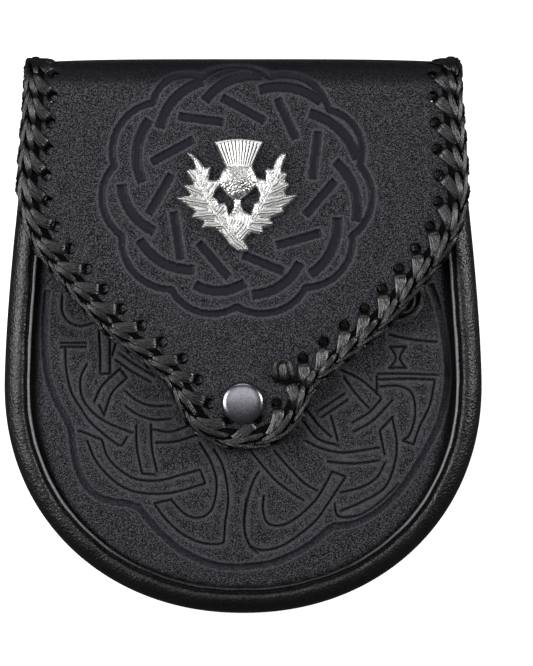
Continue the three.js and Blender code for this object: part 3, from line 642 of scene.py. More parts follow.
# How far from each lace hole a painted shade darkens the flap.
HOLE_SHADE_REACH = 0.5
EDGE_FALL = 0.5
EDGE_FALL_REACH = 2.2
FLAP_STUD_HOLE = 2.6
PANEL_STUD_HOLE = 2.0
BAND_BEVEL = 0.38
GROOVE_DEPTH = 0.6
GROOVE_HALF = 0.5
LIP_RISE = 0.55
TOOLED_LIP_HIGHLIGHT = 0.6  # how strong the painted highlight on the raised lips is
LIP_PLACE = 1.0
LIP_SPREAD = 0.48
RIM_FALL = 1.0
# The shadow beside the rim: how wide it is at the foot of the pouch and along its sides, and
# between which heights it widens.
SHADOW_FOOT = 0.9
SHADOW_SIDE = 4.0
SHADOW_FROM = -76
SHADOW_TO = -22


def band(line, half, step=0.55):
    """The outline of a flat band along a line."""
    centre = resample(line, step)
    side = normals_2d(centre) * half
    return np.vstack([centre + side, (centre - side)[::-1]])


def band_points(outline, step=0.5):
    """Mesh points on a band's edge, at the foot of its bevel and on the lip beside it."""
    loop = resample(np.vstack([outline, outline[:1]]), step)[:-1]
    normal = normals_2d(np.vstack([loop[-1:], loop, loop[:1]]))[1:-1]
    inner = loop + normal * BAND_BEVEL
    if not inside(inner, loop).mean() > 0.5:
        inner = loop - normal * BAND_BEVEL
    outward_step = (loop - inner) * LIP_SPREAD / BAND_BEVEL
    return np.vstack([loop, inner, loop + outward_step, loop + 2.2 * outward_step])


def band_depths(p, outlines):
    """How deep each point lies in the bands, and how far it is pressed smooth."""
    depth = np.zeros(len(p))
    for loop in outlines:
        low, high = loop.min(0), loop.max(0)
        near = np.nonzero(np.all((p > low) & (p < high), axis=1))[0]
        near = near[inside(p[near], loop)]
        if not len(near):
            continue
        edge = resample(np.vstack([loop, loop[:1]]), 0.12)
        depth[near] = np.maximum(depth[near], smooth(distances(p[near], edge, 2.0) / BAND_BEVEL))
    return depth


def band_lips(p, outlines):
    """How near each point is to the crest of the lip that runs along the bands."""
    rims = np.vstack([resample(np.vstack([loop, loop[:1]]), 0.2) for loop in outlines])
    near = np.exp(-(((distances(p, rims, 2.0) - LIP_SPREAD) / LIP_SPREAD) ** 2))
    return near * (band_depths(p, outlines) == 0)


def groove_points(line, step=0.45):
    centre = resample(line, step)
    side = normals_2d(centre)
    rows = [centre + side * offset * GROOVE_HALF for offset in (0, -0.5, 0.5, -1, 1, -1.5, 1.5)]
    return np.vstack(rows)


def grid(low, high, step_x, step_y):
    gx, gy = np.meshgrid(np.arange(low[0], high[0], step_x), np.arange(low[1], high[1], step_y))
    return np.stack([gx.ravel(), gy.ravel()], -1)


# The flap's ring, in pixels of the photograph round this centre.
RING_CENTRE = (237, 190)
RING_ACROSS = 135.0
RING_DOWN = 127.0
RING_LOBE = 11.0
RING_BAND = 3.4
LOBE_POWER = 0.75  # how pointed the cusps between the ring's lobes are
RING_CUSPS = [180, 145, 112, 79, 49, 16, -17, -44, -79, -112, -147]
ARC_HALF = 5.0
ARC_BULGE = 4.0
ARCS = [
    ((160, 129), (203, 82)),
    ((205, 102), (262, 76)),
    ((259, 91), (321, 103)),
    ((309, 114), (357, 160)),
    ((335, 162), (356, 222)),
    ((337, 218), (310, 275)),
    ((300, 263), (252, 295)),
    ((245, 283), (195, 285)),
    ((195, 270), (140, 240)),
    ((155, 232), (122, 185)),
    ((143, 183), (150, 120)),
]
BAR_HALF = 4.3
BARS = [
    ((179, 117), (224, 123)),
    ((222, 98), (265, 122)),
    ((277, 99), (296, 140)),
    ((318, 132), (312, 180)),
    ((335, 181), (305, 216)),
    ((321, 233), (276, 246)),
    ((284, 272), (243, 255)),
    ((229, 278), (199, 243)),
    ((181, 260), (174, 212)),
    ((149, 215), (172, 175)),
    ((152, 163), (194, 140)),
]


def round_ring(radius, angle):
    """Places round the ring's centre, at an angle from straight up."""
    return np.stack([RING_CENTRE[0] + radius * np.sin(angle), RING_CENTRE[1] - radius * np.cos(angle)], -1)


def polar_line(start, end, bulge):
    """A line round the ring's centre, swelling outward in its middle."""
    a = np.subtract(start, RING_CENTRE)
    b = np.subtract(end, RING_CENTRE)
    from_angle, to_angle = math.atan2(a[0], -a[1]), math.atan2(b[0], -b[1])
    if to_angle < from_angle:
        to_angle += 2 * math.pi
    t = np.linspace(0, 1, 14)
    angle = from_angle + (to_angle - from_angle) * t
    radius = np.hypot(*a) + (np.hypot(*b) - np.hypot(*a)) * t + bulge * np.sin(math.pi * t)
    return round_ring(radius, angle)


def ring_bands():
    bands = []
    cusps = [math.radians(c) for c in RING_CUSPS]
    for i, start in enumerate(cusps):
        end = cusps[(i + 1) % len(cusps)]
        if end > start:
            end -= 2 * math.pi
        t = np.linspace(-0.04, 1.04, 24)
        angle = start + (end - start) * t
        reach = 1 / np.hypot(np.sin(angle) / RING_ACROSS, np.cos(angle) / RING_DOWN)
        radius = reach - RING_LOBE * (1 - np.abs(np.sin(math.pi * t)) ** LOBE_POWER)
        bands.append(band(on_flap(round_ring(radius, angle)), RING_BAND * PHOTO_MM))
    for start, end in ARCS:
        bands.append(band(on_flap(polar_line(start, end, ARC_BULGE)), ARC_HALF * PHOTO_MM))
    for start, end in BARS:
        bands.append(band(on_flap(np.array([start, end], float)), BAR_HALF * PHOTO_MM))
    return bands


def circle(centre, radius, sides):
    turn = np.linspace(0, 2 * math.pi, sides, endpoint=False)
    return np.asarray(centre) + radius * np.stack([np.cos(turn), np.sin(turn)], -1)


def fold_polish(y):
    front = smooth((FOLD_POLISH_FROM - y) / (FOLD_POLISH_FROM - FOLD_POLISH_FULL))
    return FOLD_POLISH * front * smooth((y - FOLD_POLISH_END) / 6.0)


def make_flap():
    lap_half = BODY_TOP_WIDTH / 2 - RIM_WIDTH - 1
    right_lap = np.array([[lap_half, -FOLD_LENGTH - LAP_LENGTH], [lap_half, -FOLD_LENGTH - LAP_TAPER]])
    edge = resample(EDGE, 1.6)
    outline = np.vstack([resample(right_lap, 1.6), edge, resample(right_lap[::-1] * [-1, 1], 1.6)])
    outline = np.vstack([outline, resample(outline[[-1, 0]], 1.6)[1:-1]])
    centres = edge_points((np.arange(STITCHES) + 0.5) * PITCH, np.full(STITCHES, -HOLE_INSET))
    holes = [circle(c, HOLE_DIAMETER / 2, 14) for c in centres]
    holes.append(circle((0, SNAP_DOWN - FOLD_REACH), FLAP_STUD_HOLE, 16))
    bands = ring_bands()
    fine = [band_points(b) for b in bands]
    fine += [circle(c, HOLE_DIAMETER / 2 + r, 20) for c in centres for r in (0.35, 0.8, 1.4)]
    low, high = outline.min(0), outline.max(0)
    centre = on_flap(np.array(RING_CENTRE, float))
    around = RING_ACROSS * PHOTO_MM + 4
    fine.append(grid(centre - around, centre + around, 1.1, 1.1))
    fine.append(grid((low[0], -FOLD_LENGTH - 2), (high[0], 4), 2.2, 1.0))
    fine.append(grid(low, high, 2.2, 2.2))
    points = thin(np.vstack(fine), 0.3)

    def height(p):
        depth = band_depths(p, bands) * BAND_DEPTH - band_lips(p, bands) * LIP_RISE / 2
        for c in centres:
            away = np.hypot(p[:, 0] - c[0], p[:, 1] - c[1])
            dish = smooth(1 - (away - HOLE_DIAMETER / 2) / HOLE_DISH_REACH)
            depth = np.maximum(depth, HOLE_DISH_DEPTH * dish)
        depth += EDGE_FALL * smooth(1 - distances(p, EDGE[::3], 3.0) / EDGE_FALL_REACH)
        return -depth

    def top(p):
        waves = np.where(p[:, 1] > 0, hide_waves(p, 0.25), 0)
        return flap_points(p, height(p) + waves * smooth(p[:, 1] / 20))

    def bottom(p):
        return flap_points(p, np.full(len(p), -FLAP_THICK))

    verts, faces, flat = relief_solid(outline, holes, points, top, bottom)
    tooled = np.maximum(band_depths(flat, bands), fold_polish(flat[:, 1]))
    # Painted shade: on the steep edges of the tooled bands, round the lace holes, and over the whole lower
    # face, so that the holes' walls darken downward.
    cut = BAND_EDGE_SHADE * tooled * (1 - tooled)
    for c in centres:
        away = np.hypot(flat[:, 0] - c[0], flat[:, 1] - c[1])
        cut = np.maximum(cut, smooth(1 - (away - HOLE_DIAMETER / 2) / HOLE_SHADE_REACH))
    lower = len(verts) - len(flat)
    marks = {
        "tooled": np.r_[tooled, np.zeros(lower)],
        "cut": np.r_[cut, np.ones(lower)],
        # Painted highlight on the lips beside the bands.
        "painted_highlight": np.r_[TOOLED_LIP_HIGHLIGHT * band_lips(flat, bands), np.zeros(lower)],
    }
    faces = outward(faces, verts)
    return mesh_piece("flap_tooled", verts, faces, tooled_leather, "flap", True, marks)


# The knotwork on the pouch's front, cut as narrow grooves, in pixels of the photograph. Each row is
# one cut: the few points that a smooth line goes through.
KNOT_LEFT = [
    [(62, 296), (62, 311), (68, 321), (80, 326), (94, 323)],
    [(65, 347), (66, 370), (71, 392), (79, 406), (89, 421), (102, 433), (112, 441), (121, 446), (127, 437)],
    [(87, 364), (81, 376), (80, 388), (83, 400), (91, 411), (102, 420), (114, 426), (132, 433)],
    [(61, 343), (86, 343)],
    [(61, 347), (86, 347)],
    [(99, 331), (100, 352), (100, 374)],
    [(100, 374), (110, 374)],
    [(110, 374), (110, 339)],
    [(116, 343), (112, 356)],
    [(116, 360), (133, 372), (151, 382)],
    [(119, 353), (136, 365), (153, 375)],
    [(94, 402), (102, 386), (120, 369)],
    [(120, 369), (127, 378)],
    [(127, 378), (112, 393), (104, 415)],
    [(104, 415), (99, 406)],
    [(125, 391), (136, 400), (151, 406), (171, 406)],
    [(125, 406), (138, 415), (155, 420), (171, 419)],
    [(153, 430), (171, 432), (189, 426)],
    [(156, 443), (175, 442), (195, 436)],
    [(136, 425), (137, 449), (142, 474)],
    [(142, 474), (153, 475)],
    [(151, 425), (152, 449), (157, 472)],
    [(102, 441), (108, 458), (122, 472), (138, 480), (159, 481), (179, 476), (200, 470)],
    [(200, 470), (205, 483)],
    [(87, 441), (95, 460), (110, 478), (126, 489), (146, 494), (173, 493), (205, 484)],
    [(78, 431), (87, 434), (101, 440)],
    [(154, 504), (171, 500)],
    [
        (171, 500), (183, 513), (193, 518), (204, 517), (212, 509),
        (216, 494), (216, 478), (210, 460), (200, 443),
    ],
    [(154, 504), (167, 521), (183, 535), (200, 543), (216, 545), (224, 543)],
    [(224, 543), (225, 525), (228, 504), (227, 484), (222, 464), (214, 449)],
    [(246, 500), (244, 525), (249, 545), (257, 553)],
]
KNOT_RIGHT = [
    [
        (264, 496), (263, 509), (266, 521), (273, 526), (285, 525),
        (301, 515), (316, 500), (326, 484), (332, 472),
    ],
    [(332, 472), (346, 477)],
    [(346, 477), (336, 492), (328, 504), (316, 521), (297, 537), (281, 547), (263, 551), (250, 547)],
    [(250, 547), (245, 533), (245, 515), (249, 494), (254, 480), (259, 472)],
    [(252, 453), (275, 480), (293, 494), (304, 501)],
    [(274, 451), (291, 470), (305, 484), (317, 491)],
    [(341, 493), (361, 488), (377, 478), (385, 464)],
    [(342, 511), (363, 502), (385, 488), (395, 464), (397, 443), (393, 419)],
    [(380, 431), (385, 455)],
    [(380, 431), (393, 417)],
    [(335, 504), (337, 515), (344, 518), (361, 515), (381, 502), (399, 484)],
    [(305, 441), (322, 449), (344, 453), (379, 448)],
    [(328, 462), (352, 464), (379, 461)],
    [(304, 423), (318, 439), (338, 446)],
    [(307, 411), (318, 425), (330, 436)],
    [(352, 423), (369, 413), (381, 400)],
    [(354, 432), (373, 421), (393, 400)],
    [(340, 370), (361, 380), (381, 397)],
    [(344, 378), (356, 394), (369, 408)],
    [(318, 411), (344, 394)],
    [(322, 417), (348, 400)],
    [(331, 416), (338, 441)],
    [(377, 374), (405, 374), (437, 375)],
    [(377, 376), (377, 394)],
    [(380, 387), (397, 386), (410, 391), (415, 402), (415, 419), (410, 435), (403, 441)],
    [(403, 441), (414, 445)],
    [(414, 445), (420, 427), (430, 406), (435, 382)],
    [(390, 347), (406, 347)],
    [(389, 368), (406, 368)],
    [(391, 348), (396, 358), (391, 367)],
    [(405, 348), (400, 358), (405, 367)],
    [(378, 380), (405, 379), (434, 380)],
    [(389, 335), (414, 340), (437, 342)],
]
# The smooth sunken band round the knotwork, in pixels, cusp to cusp.
KNOT_BORDER_HALF = 3.3
KNOT_BORDER = [
    [(47, 290), (44, 325), (45, 360), (49, 382), (57, 403), (67, 421), (71, 431)],
    [(71, 430), (72, 442), (75, 462), (83, 482), (96, 496), (112, 502), (127, 504), (138, 508)],
    [(137, 506), (150, 522), (162, 535), (178, 549), (196, 559), (216, 566), (238, 568), (250, 567)],
    [(249, 567), (271, 564), (291, 556), (312, 544), (326, 532), (336, 526)],
    [
        (334, 527), (353, 524), (374, 514), (394, 497), (411, 476), (427, 449), (439, 425),
        (446, 398), (448, 372), (446, 346), (442, 322), (437, 302), (430, 284),
    ],
]


def make_front_panel():
    outline = panel_outline(MOUTH_GAP, 1.6)
    holes = [circle((0, HEIGHT - SNAP_DOWN - MIDDLE), PANEL_STUD_HOLE, 16)]
    grooves = [resample(photo(spline(cut, 1.0)), 0.12) for cut in KNOT_LEFT + KNOT_RIGHT]
    borders = [band(photo(spline(cut, 2.0)), KNOT_BORDER_HALF * PHOTO_MM) for cut in KNOT_BORDER]
    samples = np.vstack(grooves)
    rim_line = panel_outline(MOUTH_GAP, 0.4)
    fine = [groove_points(g) for g in grooves] + [band_points(b) for b in borders]
    fine.append(grid(outline.min(0), (outline.max(0)[0], 30), 1.5, 1.5))
    fine.append(grid(outline.min(0), outline.max(0), 3.0, 3.0))
    points = thin(np.vstack(fine), 0.24)

    def pressed(p):
        away = distances(p, samples, 2.5)
        lip = np.exp(-(((away - LIP_PLACE) / LIP_SPREAD) ** 2))
        lip = np.maximum(lip, 0.7 * band_lips(p, borders))
        return smooth(1 - away / GROOVE_HALF), lip, band_depths(p, borders)

    def beside_rim(p):
        """How near each place is to the rim, where the panel falls away and a shadow is painted on it."""
        side = smooth((p[:, 1] - SHADOW_FROM) / (SHADOW_TO - SHADOW_FROM))
        width = SHADOW_FOOT + (SHADOW_SIDE - SHADOW_FOOT) * side
        return smooth(1.2 - (distances(p, rim_line, 10.0) - PANEL_TUCK) / width)

    def top(p):
        cut, lip, border = pressed(p)
        depth = np.maximum(cut * GROOVE_DEPTH, border * BAND_DEPTH) - lip * (1 - border) * LIP_RISE
        depth += RIM_FALL * beside_rim(p)
        z = FRONT_PANEL_TOP + front_dome(p) - depth + hide_waves(p, 0.12)
        return np.c_[p, z]

    def bottom(p):
        return np.c_[p, FRONT_PANEL_TOP + front_dome(p) - FRONT_PANEL_THICK]

    verts, faces, flat = relief_solid(outline, holes, points, top, bottom)
    cut, lip, border = pressed(flat)
    # Painted shade on the steep edges of the sunken border band.
    edges = BORDER_EDGE_SHADE * border * (1 - border)
    lower = np.zeros(len(verts) - len(flat))
    marks = {
        "tooled": np.r_[BORDER_PRESSED * border, lower],
        # Painted highlight on the lips beside the grooves and the border.
        "painted_highlight": np.r_[TOOLED_LIP_HIGHLIGHT * lip * (1 - border) * (1 - cut), lower],
        # Painted shade in the grooves, on the border's edges and beside the rim.
        "cut": np.r_[np.maximum.reduce([cut * (1 - border), edges, beside_rim(flat)]), lower],
    }
    faces = outward(faces, verts)
    return mesh_piece("front_tooled", verts, faces, tooled_leather, "front_panel", True, marks)


# The gusset


GUSSET_OUTSIDE = [
    (1.0, BODY_DEPTH - FRONT_RECESS + GAP),
    (1.0, BODY_DEPTH - 1.9),
    (0.975, BODY_DEPTH - 1.2),
    (0.93, BODY_DEPTH - 0.95),
    (0.885, BODY_DEPTH - 1.15),
    (0.85, BODY_DEPTH - 1.9),
    (0.82, BODY_DEPTH - 2.35),
    (0.80, BODY_DEPTH - 1.9),
    (0.78, BODY_DEPTH - 1.1),
    (0.74, BODY_DEPTH - 0.45),
    (0.68, BODY_DEPTH - 0.1),
    (0.60, BODY_DEPTH),
    (0.48, BODY_DEPTH - 0.25),
    (0.36, BODY_DEPTH - 0.8),
    (0.24, BODY_DEPTH - 1.65),
    (0.13, BODY_DEPTH - 2.8),
    (0.05, BODY_DEPTH - 4.4),
    (0.0, BODY_DEPTH - 6.6),
    (0.045, BODY_DEPTH - 10.0),
    (0.10, BODY_DEPTH - 14.0),
    (0.125, BODY_DEPTH / 2),
    (0.10, 14.0),
    (0.045, 10.0),
    (0.0, 6.2),
    (0.025, 4.2),
    (0.08, 2.5),
    (0.16, 1.2),
    (0.25, 0.35),
    (0.34, 0.0),
    (0.48, 0.0),
    (0.61, 0.0),
    (0.75, 0.4),
    (0.88, 1.5),
    (0.97, 3.2),
    (1.0, BACK_RECESS - GAP),
]
GUSSET_INSIDE = [
    (0.79, BACK_RECESS - GAP),
    (0.76, 4.0),
    (0.62, 2.3),
    (0.48, 2.0),
    (0.36, 2.4),
    (0.26, 4.0),
    (0.21, 6.2),
    (0.333, BODY_DEPTH / 2),
    (0.21, BODY_DEPTH - 6.2),
    (0.26, BODY_DEPTH - 3.6),
    (0.44, BODY_DEPTH - 2.0),
    (0.68, BODY_DEPTH - FRONT_RECESS + GAP),
]


# The crease between the rolled rim and the raised lip inside it, where a shade is painted, as shares of the
# rim's width.
RIM_CREASE = (0.80, 0.85)
# Where the painted highlight lies on the lip, as shares of the rim's width.
LIP_HIGHLIGHT_SPAN = (0.92, 0.98)
LIP_HIGHLIGHT_LEAST = 0.04  # how strong the lip's painted highlight is at the foot of the pouch, against its sides

LIP_REACH = 3.0  # how far below the front the crease and the lip go
# How dark the painted shade in the crease is.
CREASE_SHADE = 0.9
# The leather's slight puckers: they stay between two places across the rim, and are full on the roll.
ROLL_REACH = 5.0
ROLL_DROP = 0.25
PUCKER_FROM = 0.05
PUCKER_TO = 0.98
PUCKER_ASIDE = 0.7
WALL_PUCKER = 0.3


def make_gusset():
    line = body_line(GUSSET_TOP_GAP, 1.6)
    normal = normals_2d(line)
    outside = np.array(GUSSET_OUTSIDE) * [RIM_WIDTH, 1]
    loop = np.vstack([outside, np.array(GUSSET_INSIDE) * [RIM_WIDTH, 1]])
    count = len(loop)
    lengths = np.r_[0, np.cumsum(np.linalg.norm(np.diff(line, axis=0), axis=1))]
    sections = np.zeros((len(line), count, 3))
    pucker = 0.10 * np.sin(lengths / 2.1) + 0.14 * np.sin(lengths / 5.3 + 1) + 0.1 * np.sin(lengths / 13)
    for i, (inward, z) in enumerate(loop):
        on_roll = 0 < i < len(outside) - 1 and z > BODY_DEPTH - ROLL_REACH
        moves = i < len(outside) and PUCKER_FROM < inward < RIM_WIDTH * PUCKER_TO
        aside = pucker * (1.0 if on_roll else WALL_PUCKER) * PUCKER_ASIDE if moves else 0
        sections[:, i, :2] = line - normal * np.reshape(inward + aside, (-1, 1))
        sections[:, i, 2] = z + (pucker if on_roll else 0) - (ROLL_DROP if on_roll else 0)
    verts = sections.reshape(-1, 3)
    faces = outward(swept(sections), verts)
    share = loop[:, 0] / RIM_WIDTH
    on_top = loop[:, 1] > BODY_DEPTH - LIP_REACH
    # Painted shade in the crease.
    crease_shade = CREASE_SHADE * (on_top & (share >= RIM_CREASE[0]) & (share <= RIM_CREASE[1]))
    # Painted highlight on the lip, strongest along the sides and faint at the foot of the pouch.
    lip_highlight = 1.0 * (on_top & (share >= LIP_HIGHLIGHT_SPAN[0]) & (share <= LIP_HIGHLIGHT_SPAN[1]))
    side = LIP_HIGHLIGHT_LEAST + (1 - LIP_HIGHLIGHT_LEAST) * smooth(np.abs(normal[:, 0]) * 1.6 - 0.6)
    marks = {"cut": np.tile(crease_shade, len(line)), "painted_highlight": np.outer(side, lip_highlight).ravel()}
    return mesh_piece("gusset_rolled", verts, faces, rim_leather, "gusset", True, marks)


# The braided edge


LACE_WIDTH = 4.4
# The strands of one stitch. Each path is a share of the pitch onward along the edge, then the
# distance out from the hole and the height over the leather, in millimetres.
FRONT_STRANDS = [
    {
        "width": 1.0,
        "from_hole": True,
        "path": [
            (0.03, 0.5, -2.6), (0.09, 1.1, -1.3), (0.17, 1.9, 0.15),
            (0.34, 3.5, 0.7), (0.56, 5.6, 1.0), (0.8, 7.7, 0.6),
        ],
    },
    {
        "width": 0.54,
        "path": [(-0.10, 5.9, 0.2), (0.10, 6.3, 1.2), (0.44, 7.1, 1.7), (0.78, 7.9, 1.25), (1.0, 8.4, 0.3)],
    },
    {
        "width": 0.34,
        "path": [(1.16, 8.7, 0.4), (0.9, 9.1, 1.3), (0.5, 9.6, 1.35), (0.1, 10.0, 0.9), (-0.14, 10.2, 0.0)],
    },
    {
        "width": 0.5,
        "path": [
            (0.18, 8.7, 0.2), (0.38, 9.8, 0.4), (0.54, 10.4, -0.5),
            (0.68, 10.5, -1.9), (0.8, 9.8, -3.1),
        ],
    },
]
BACK_STRANDS = [
    {
        "width": 1.0,
        "from_hole": True,
        "path": [
            (0.7, 10.4, -1.6), (0.6, 9.6, -3.2), (0.4, 7.0, -3.9),
            (0.15, 3.8, -3.6), (0.0, 0.6, -3.1), (-0.08, -2.2, -2.8),
        ],
    },
    {
        "width": 0.9,
        "path": [
            (0.0, 10.5, -1.2), (-0.1, 9.8, -3.0), (-0.35, 7.4, -3.75),
            (-0.6, 4.6, -3.6), (-0.75, 2.2, -3.0),
        ],
    },
]
LACE_SECTION = 12
LACE_HALF_THICK = 0.4
STRAND_TIP = 0.45  # how wide a strand of the braid is at its ends, as a share of its width
# How wide a strap is where it comes out of its hole, as a share of its width.
HOLE_SQUEEZE = 0.62


def lace_strand(parts, stitch, strand, rng):
    """One strand of a stitch: a flat lace with rounded edges, laid over the flap's edge."""
    path = spline(np.array(strand["path"]) * [PITCH, 1, 1], 0.8)
    path += rng.normal(0, 1, (1, 3)) * [0.16, 0.1, 0.04]
    length = np.clip((stitch + 0.5) * PITCH + path[:, 0], 0.2, EDGE_LENGTH - 0.2)
    out = path[:, 1] - HOLE_INSET
    lift = path[:, 2]
    centre = flap_points(edge_points(length, out), lift)
    radial = (flap_points(edge_points(length, out), lift + 0.4) - centre) / 0.4
    core = flap_points(edge_points(length, np.minimum(out, 0.6)), np.full(len(out), -FLAP_THICK / 2))
    away = centre - core
    away /= np.maximum(np.linalg.norm(away, axis=1, keepdims=True), 1e-6)
    wrap = smooth((out + 0.6) / 1.6)[:, None]
    face = np.where((lift > -FLAP_THICK / 2)[:, None], radial, -radial)
    normal = face * (1 - wrap) + away * wrap
    along = np.gradient(centre, axis=0)
    along /= np.maximum(np.linalg.norm(along, axis=1, keepdims=True), 1e-9)
    normal -= along * np.sum(normal * along, axis=1, keepdims=True)
    normal /= np.maximum(np.linalg.norm(normal, axis=1, keepdims=True), 1e-9)
    side = np.cross(along, normal)
    t = np.linspace(0, 1, len(path))
    if strand.get("from_hole"):
        shape = HOLE_SQUEEZE + (1 - HOLE_SQUEEZE) * smooth(path[:, 1] / 2.0)
    else:
        shape = STRAND_TIP + (1 - STRAND_TIP) * np.sqrt(np.sin(math.pi * t))
    flat_lace(parts, centre, side, normal, LACE_WIDTH * strand["width"] / 2 * shape, rng)


def flat_lace(parts, centre, side, normal, half, rng):
    """A flat lace along its centre line, with the way across it, the way up and half its width."""
    turn = 2 * math.pi * (np.arange(LACE_SECTION) + 0.5) / LACE_SECTION
    u = power(np.cos(turn), 0.4)
    v = power(np.sin(turn), 0.7)
    crown = LACE_HALF_THICK * v + 0.16 * (1 - u * u)
    sections = centre[:, None, :] + side[:, None, :] * (half[:, None] * u)[:, :, None]
    sections = sections + normal[:, None, :] * crown[None, :, None]
    verts = sections.reshape(-1, 3)
    steps = np.linalg.norm(np.diff(centre, axis=0), axis=1)
    across = np.tile(u * LACE_WIDTH / 2 + v * 0.3 + 11.3 * rng.random(), len(centre))
    run = np.repeat(np.r_[0, np.cumsum(steps)] + 90 * rng.random(), LACE_SECTION)
    parts.add(verts, outward(swept(sections), verts), across=across, along=run)


# The two ends of the lace, which lie over the braid: pixels of the photograph with a height in
# millimetres, how wide each is as a share of the lace's width, and whether it lies in shade.
LOOSE_LACES = [
    {
        "width": 0.9,
        "shaded": True,
        "route": [(419, 286, 38.5), (415, 298, 38.2), (407, 309, 37.6), (395, 316, 37.4), (384, 321, 37.2)],
    },
    {
        "width": 0.5,
        "shaded": False,
        "route": [
            (418, 284, 40.6), (422, 294, 39.6), (421, 305, 38.8), (415, 314, 38.0),
            (406, 320, 37.8), (396, 321, 38.0), (389, 316, 38.6),
        ],
    },
    {
        "width": 0.24,
        "shaded": False,
        "route": [(412, 290, 41.2), (414, 298, 40.9), (413, 306, 40.4), (407, 312, 40), (398, 312, 40.6)],
    },
    {
        "width": 0.2,
        "shaded": False,
        "route": [(409, 294, 41.4), (407, 302, 41.2), (404, 309, 40.9), (400, 315, 40.2)],
    },
    {
        "width": 0.95,
        "shaded": False,
        "route": [
            (285, 383, 40.6), (284.5, 379, 41.6), (284, 370, 41.9),
            (283.5, 363, 41.6), (283, 359, 40.8),
        ],
    },
    {
        "width": 0.34,
        "shaded": False,
        "route": [
            (276, 382, 41.2), (275.5, 377, 42.5), (275, 367, 42.9), (277.5, 361, 42.9), (283, 359.5, 42.7),
            (288.5, 361, 42.9), (290.5, 367, 42.9), (292.5, 377, 42.5), (293.5, 382, 41.2),
        ],
    },
    {
        "width": 0.16,
        "shaded": True,
        "route": [
            (271, 376, 40.5), (275, 379, 42.9), (284, 380.5, 43.2),
            (294, 381.5, 42.9), (299, 381.5, 41),
        ],
    },
]


def loose_lace(parts, loose, rng):
    """A stretch of lace that lies on the pouch, facing up."""
    route = np.array(loose["route"], float)
    centre = spline(np.c_[photo(route[:, :2]), route[:, 2]], 0.8)
    along = np.gradient(centre, axis=0)
    along /= np.maximum(np.linalg.norm(along, axis=1, keepdims=True), 1e-9)
    side = np.cross(along, [0, 0, 1.0])
    side /= np.maximum(np.linalg.norm(side, axis=1, keepdims=True), 1e-9)
    half = np.full(len(centre), LACE_WIDTH * loose["width"] / 2)
    flat_lace(parts, centre, side, np.cross(side, along), half, rng)


def make_lacing():
    rng = np.random.default_rng(7)
    parts = Parts()
    core_profile = [
        (-LACE_REACH + 1.2, 0.15),
        (-0.2, 0.5),
        (1.0, 0.1),
        (1.3, -FLAP_THICK / 2),
        (1.0, -FLAP_THICK - 0.1),
        (-0.2, -FLAP_THICK - 0.6),
        (-LACE_REACH + 1.2, -FLAP_THICK - 0.3),
        (-LACE_REACH + 1.2, -FLAP_THICK - 0.05),
        (0.3, -FLAP_THICK - 0.05),
        (0.3, 0.05),
        (-LACE_REACH + 1.2, 0.05),
    ]
    at = np.linspace(0.3, EDGE_LENGTH - 0.3, STITCHES * 5)
    every = np.ones(len(at))
    rows = [flap_points(edge_points(at, out * every), lift * every) for out, lift in core_profile]
    sections = np.stack(rows, 1)
    verts = sections.reshape(-1, 3)
    parts.add(verts, outward(swept(sections), verts), across=0.0, along=0.0)
    # The braid's core, and the loose laces that lie in shade, are painted in shade with the darker
    # lace_shade material.
    shaded = list(range(len(parts.faces)))
    for stitch in range(STITCHES):
        for strand in FRONT_STRANDS + BACK_STRANDS:
            lace_strand(parts, stitch, strand, rng)
    for loose in LOOSE_LACES:
        first = len(parts.faces)
        loose_lace(parts, loose, rng)
        if loose["shaded"]:
            shaded += range(first, len(parts.faces))
    made = parts.piece("lacing_braid", lace, "edge_lacing")
    made.data.materials.append(lace_shade)
    for i in shaded:
        made.data.polygons[i].material_index = 1
    return made


# The press stud


def lathe(profile, sides, x, y):
    turn = np.linspace(0, 2 * math.pi, sides, endpoint=False)
    rows = []
    for r, z in profile:
        rows.append(np.stack([x + r * np.cos(turn), y + r * np.sin(turn), np.full(sides, z)], -1))
    sections = np.stack(rows, 0)
    verts = sections.reshape(-1, 3)
    return verts, outward(swept(sections), verts)


CAP_HEIGHT = 3.1
CAP_SIDES = 72
CAP_AXIS = 0.02  # the small hole that keeps the turned body open at its axis
SOCKET_RADIUS = 5.5
SOCKET_MOUTH = 3.1
SOCKET_DEPTH = 2.0
POST_RADIUS = 2.3
DOME_FOOT = 0.6
# The dome's line: shares of the cap's radius and of its rise over the rim.
DOME = [(0.965, 0.5), (0.92, 0.66), (0.86, 0.77), (0.76, 0.86), (0.6, 0.93), (0.4, 0.975), (0.2, 0.995)]


def make_snap():
    low, high = (Vector(c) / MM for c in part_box("snap_cap"))
    x, y = (low.x + high.x) / 2, (low.y + high.y) / 2
    cap = (high.x - low.x) / 2
    top = high.z
    foot = top - CAP_HEIGHT
    profile = [
        (CAP_AXIS, low.z + SOCKET_DEPTH),
        (SOCKET_MOUTH, low.z + SOCKET_DEPTH),
        (SOCKET_MOUTH, low.z),
        (SOCKET_RADIUS, low.z),
        (SOCKET_RADIUS, foot - 2.9),
        (POST_RADIUS, foot - 2.8),
        (POST_RADIUS, foot),
        (cap - 0.5, foot),
        (cap - 0.1, foot + 0.15),
        (cap, foot + 0.5),
        (cap - 0.05, foot + 0.95),
    ]
    for share, rise in DOME:
        profile.append((cap * share, foot + DOME_FOOT + (top - foot - DOME_FOOT) * rise))
    profile.append((CAP_AXIS, top))
    verts, faces = lathe(profile, CAP_SIDES, x, y)
    return mesh_piece("snap_cap_smooth", verts, faces, pewter, "snap_cap")


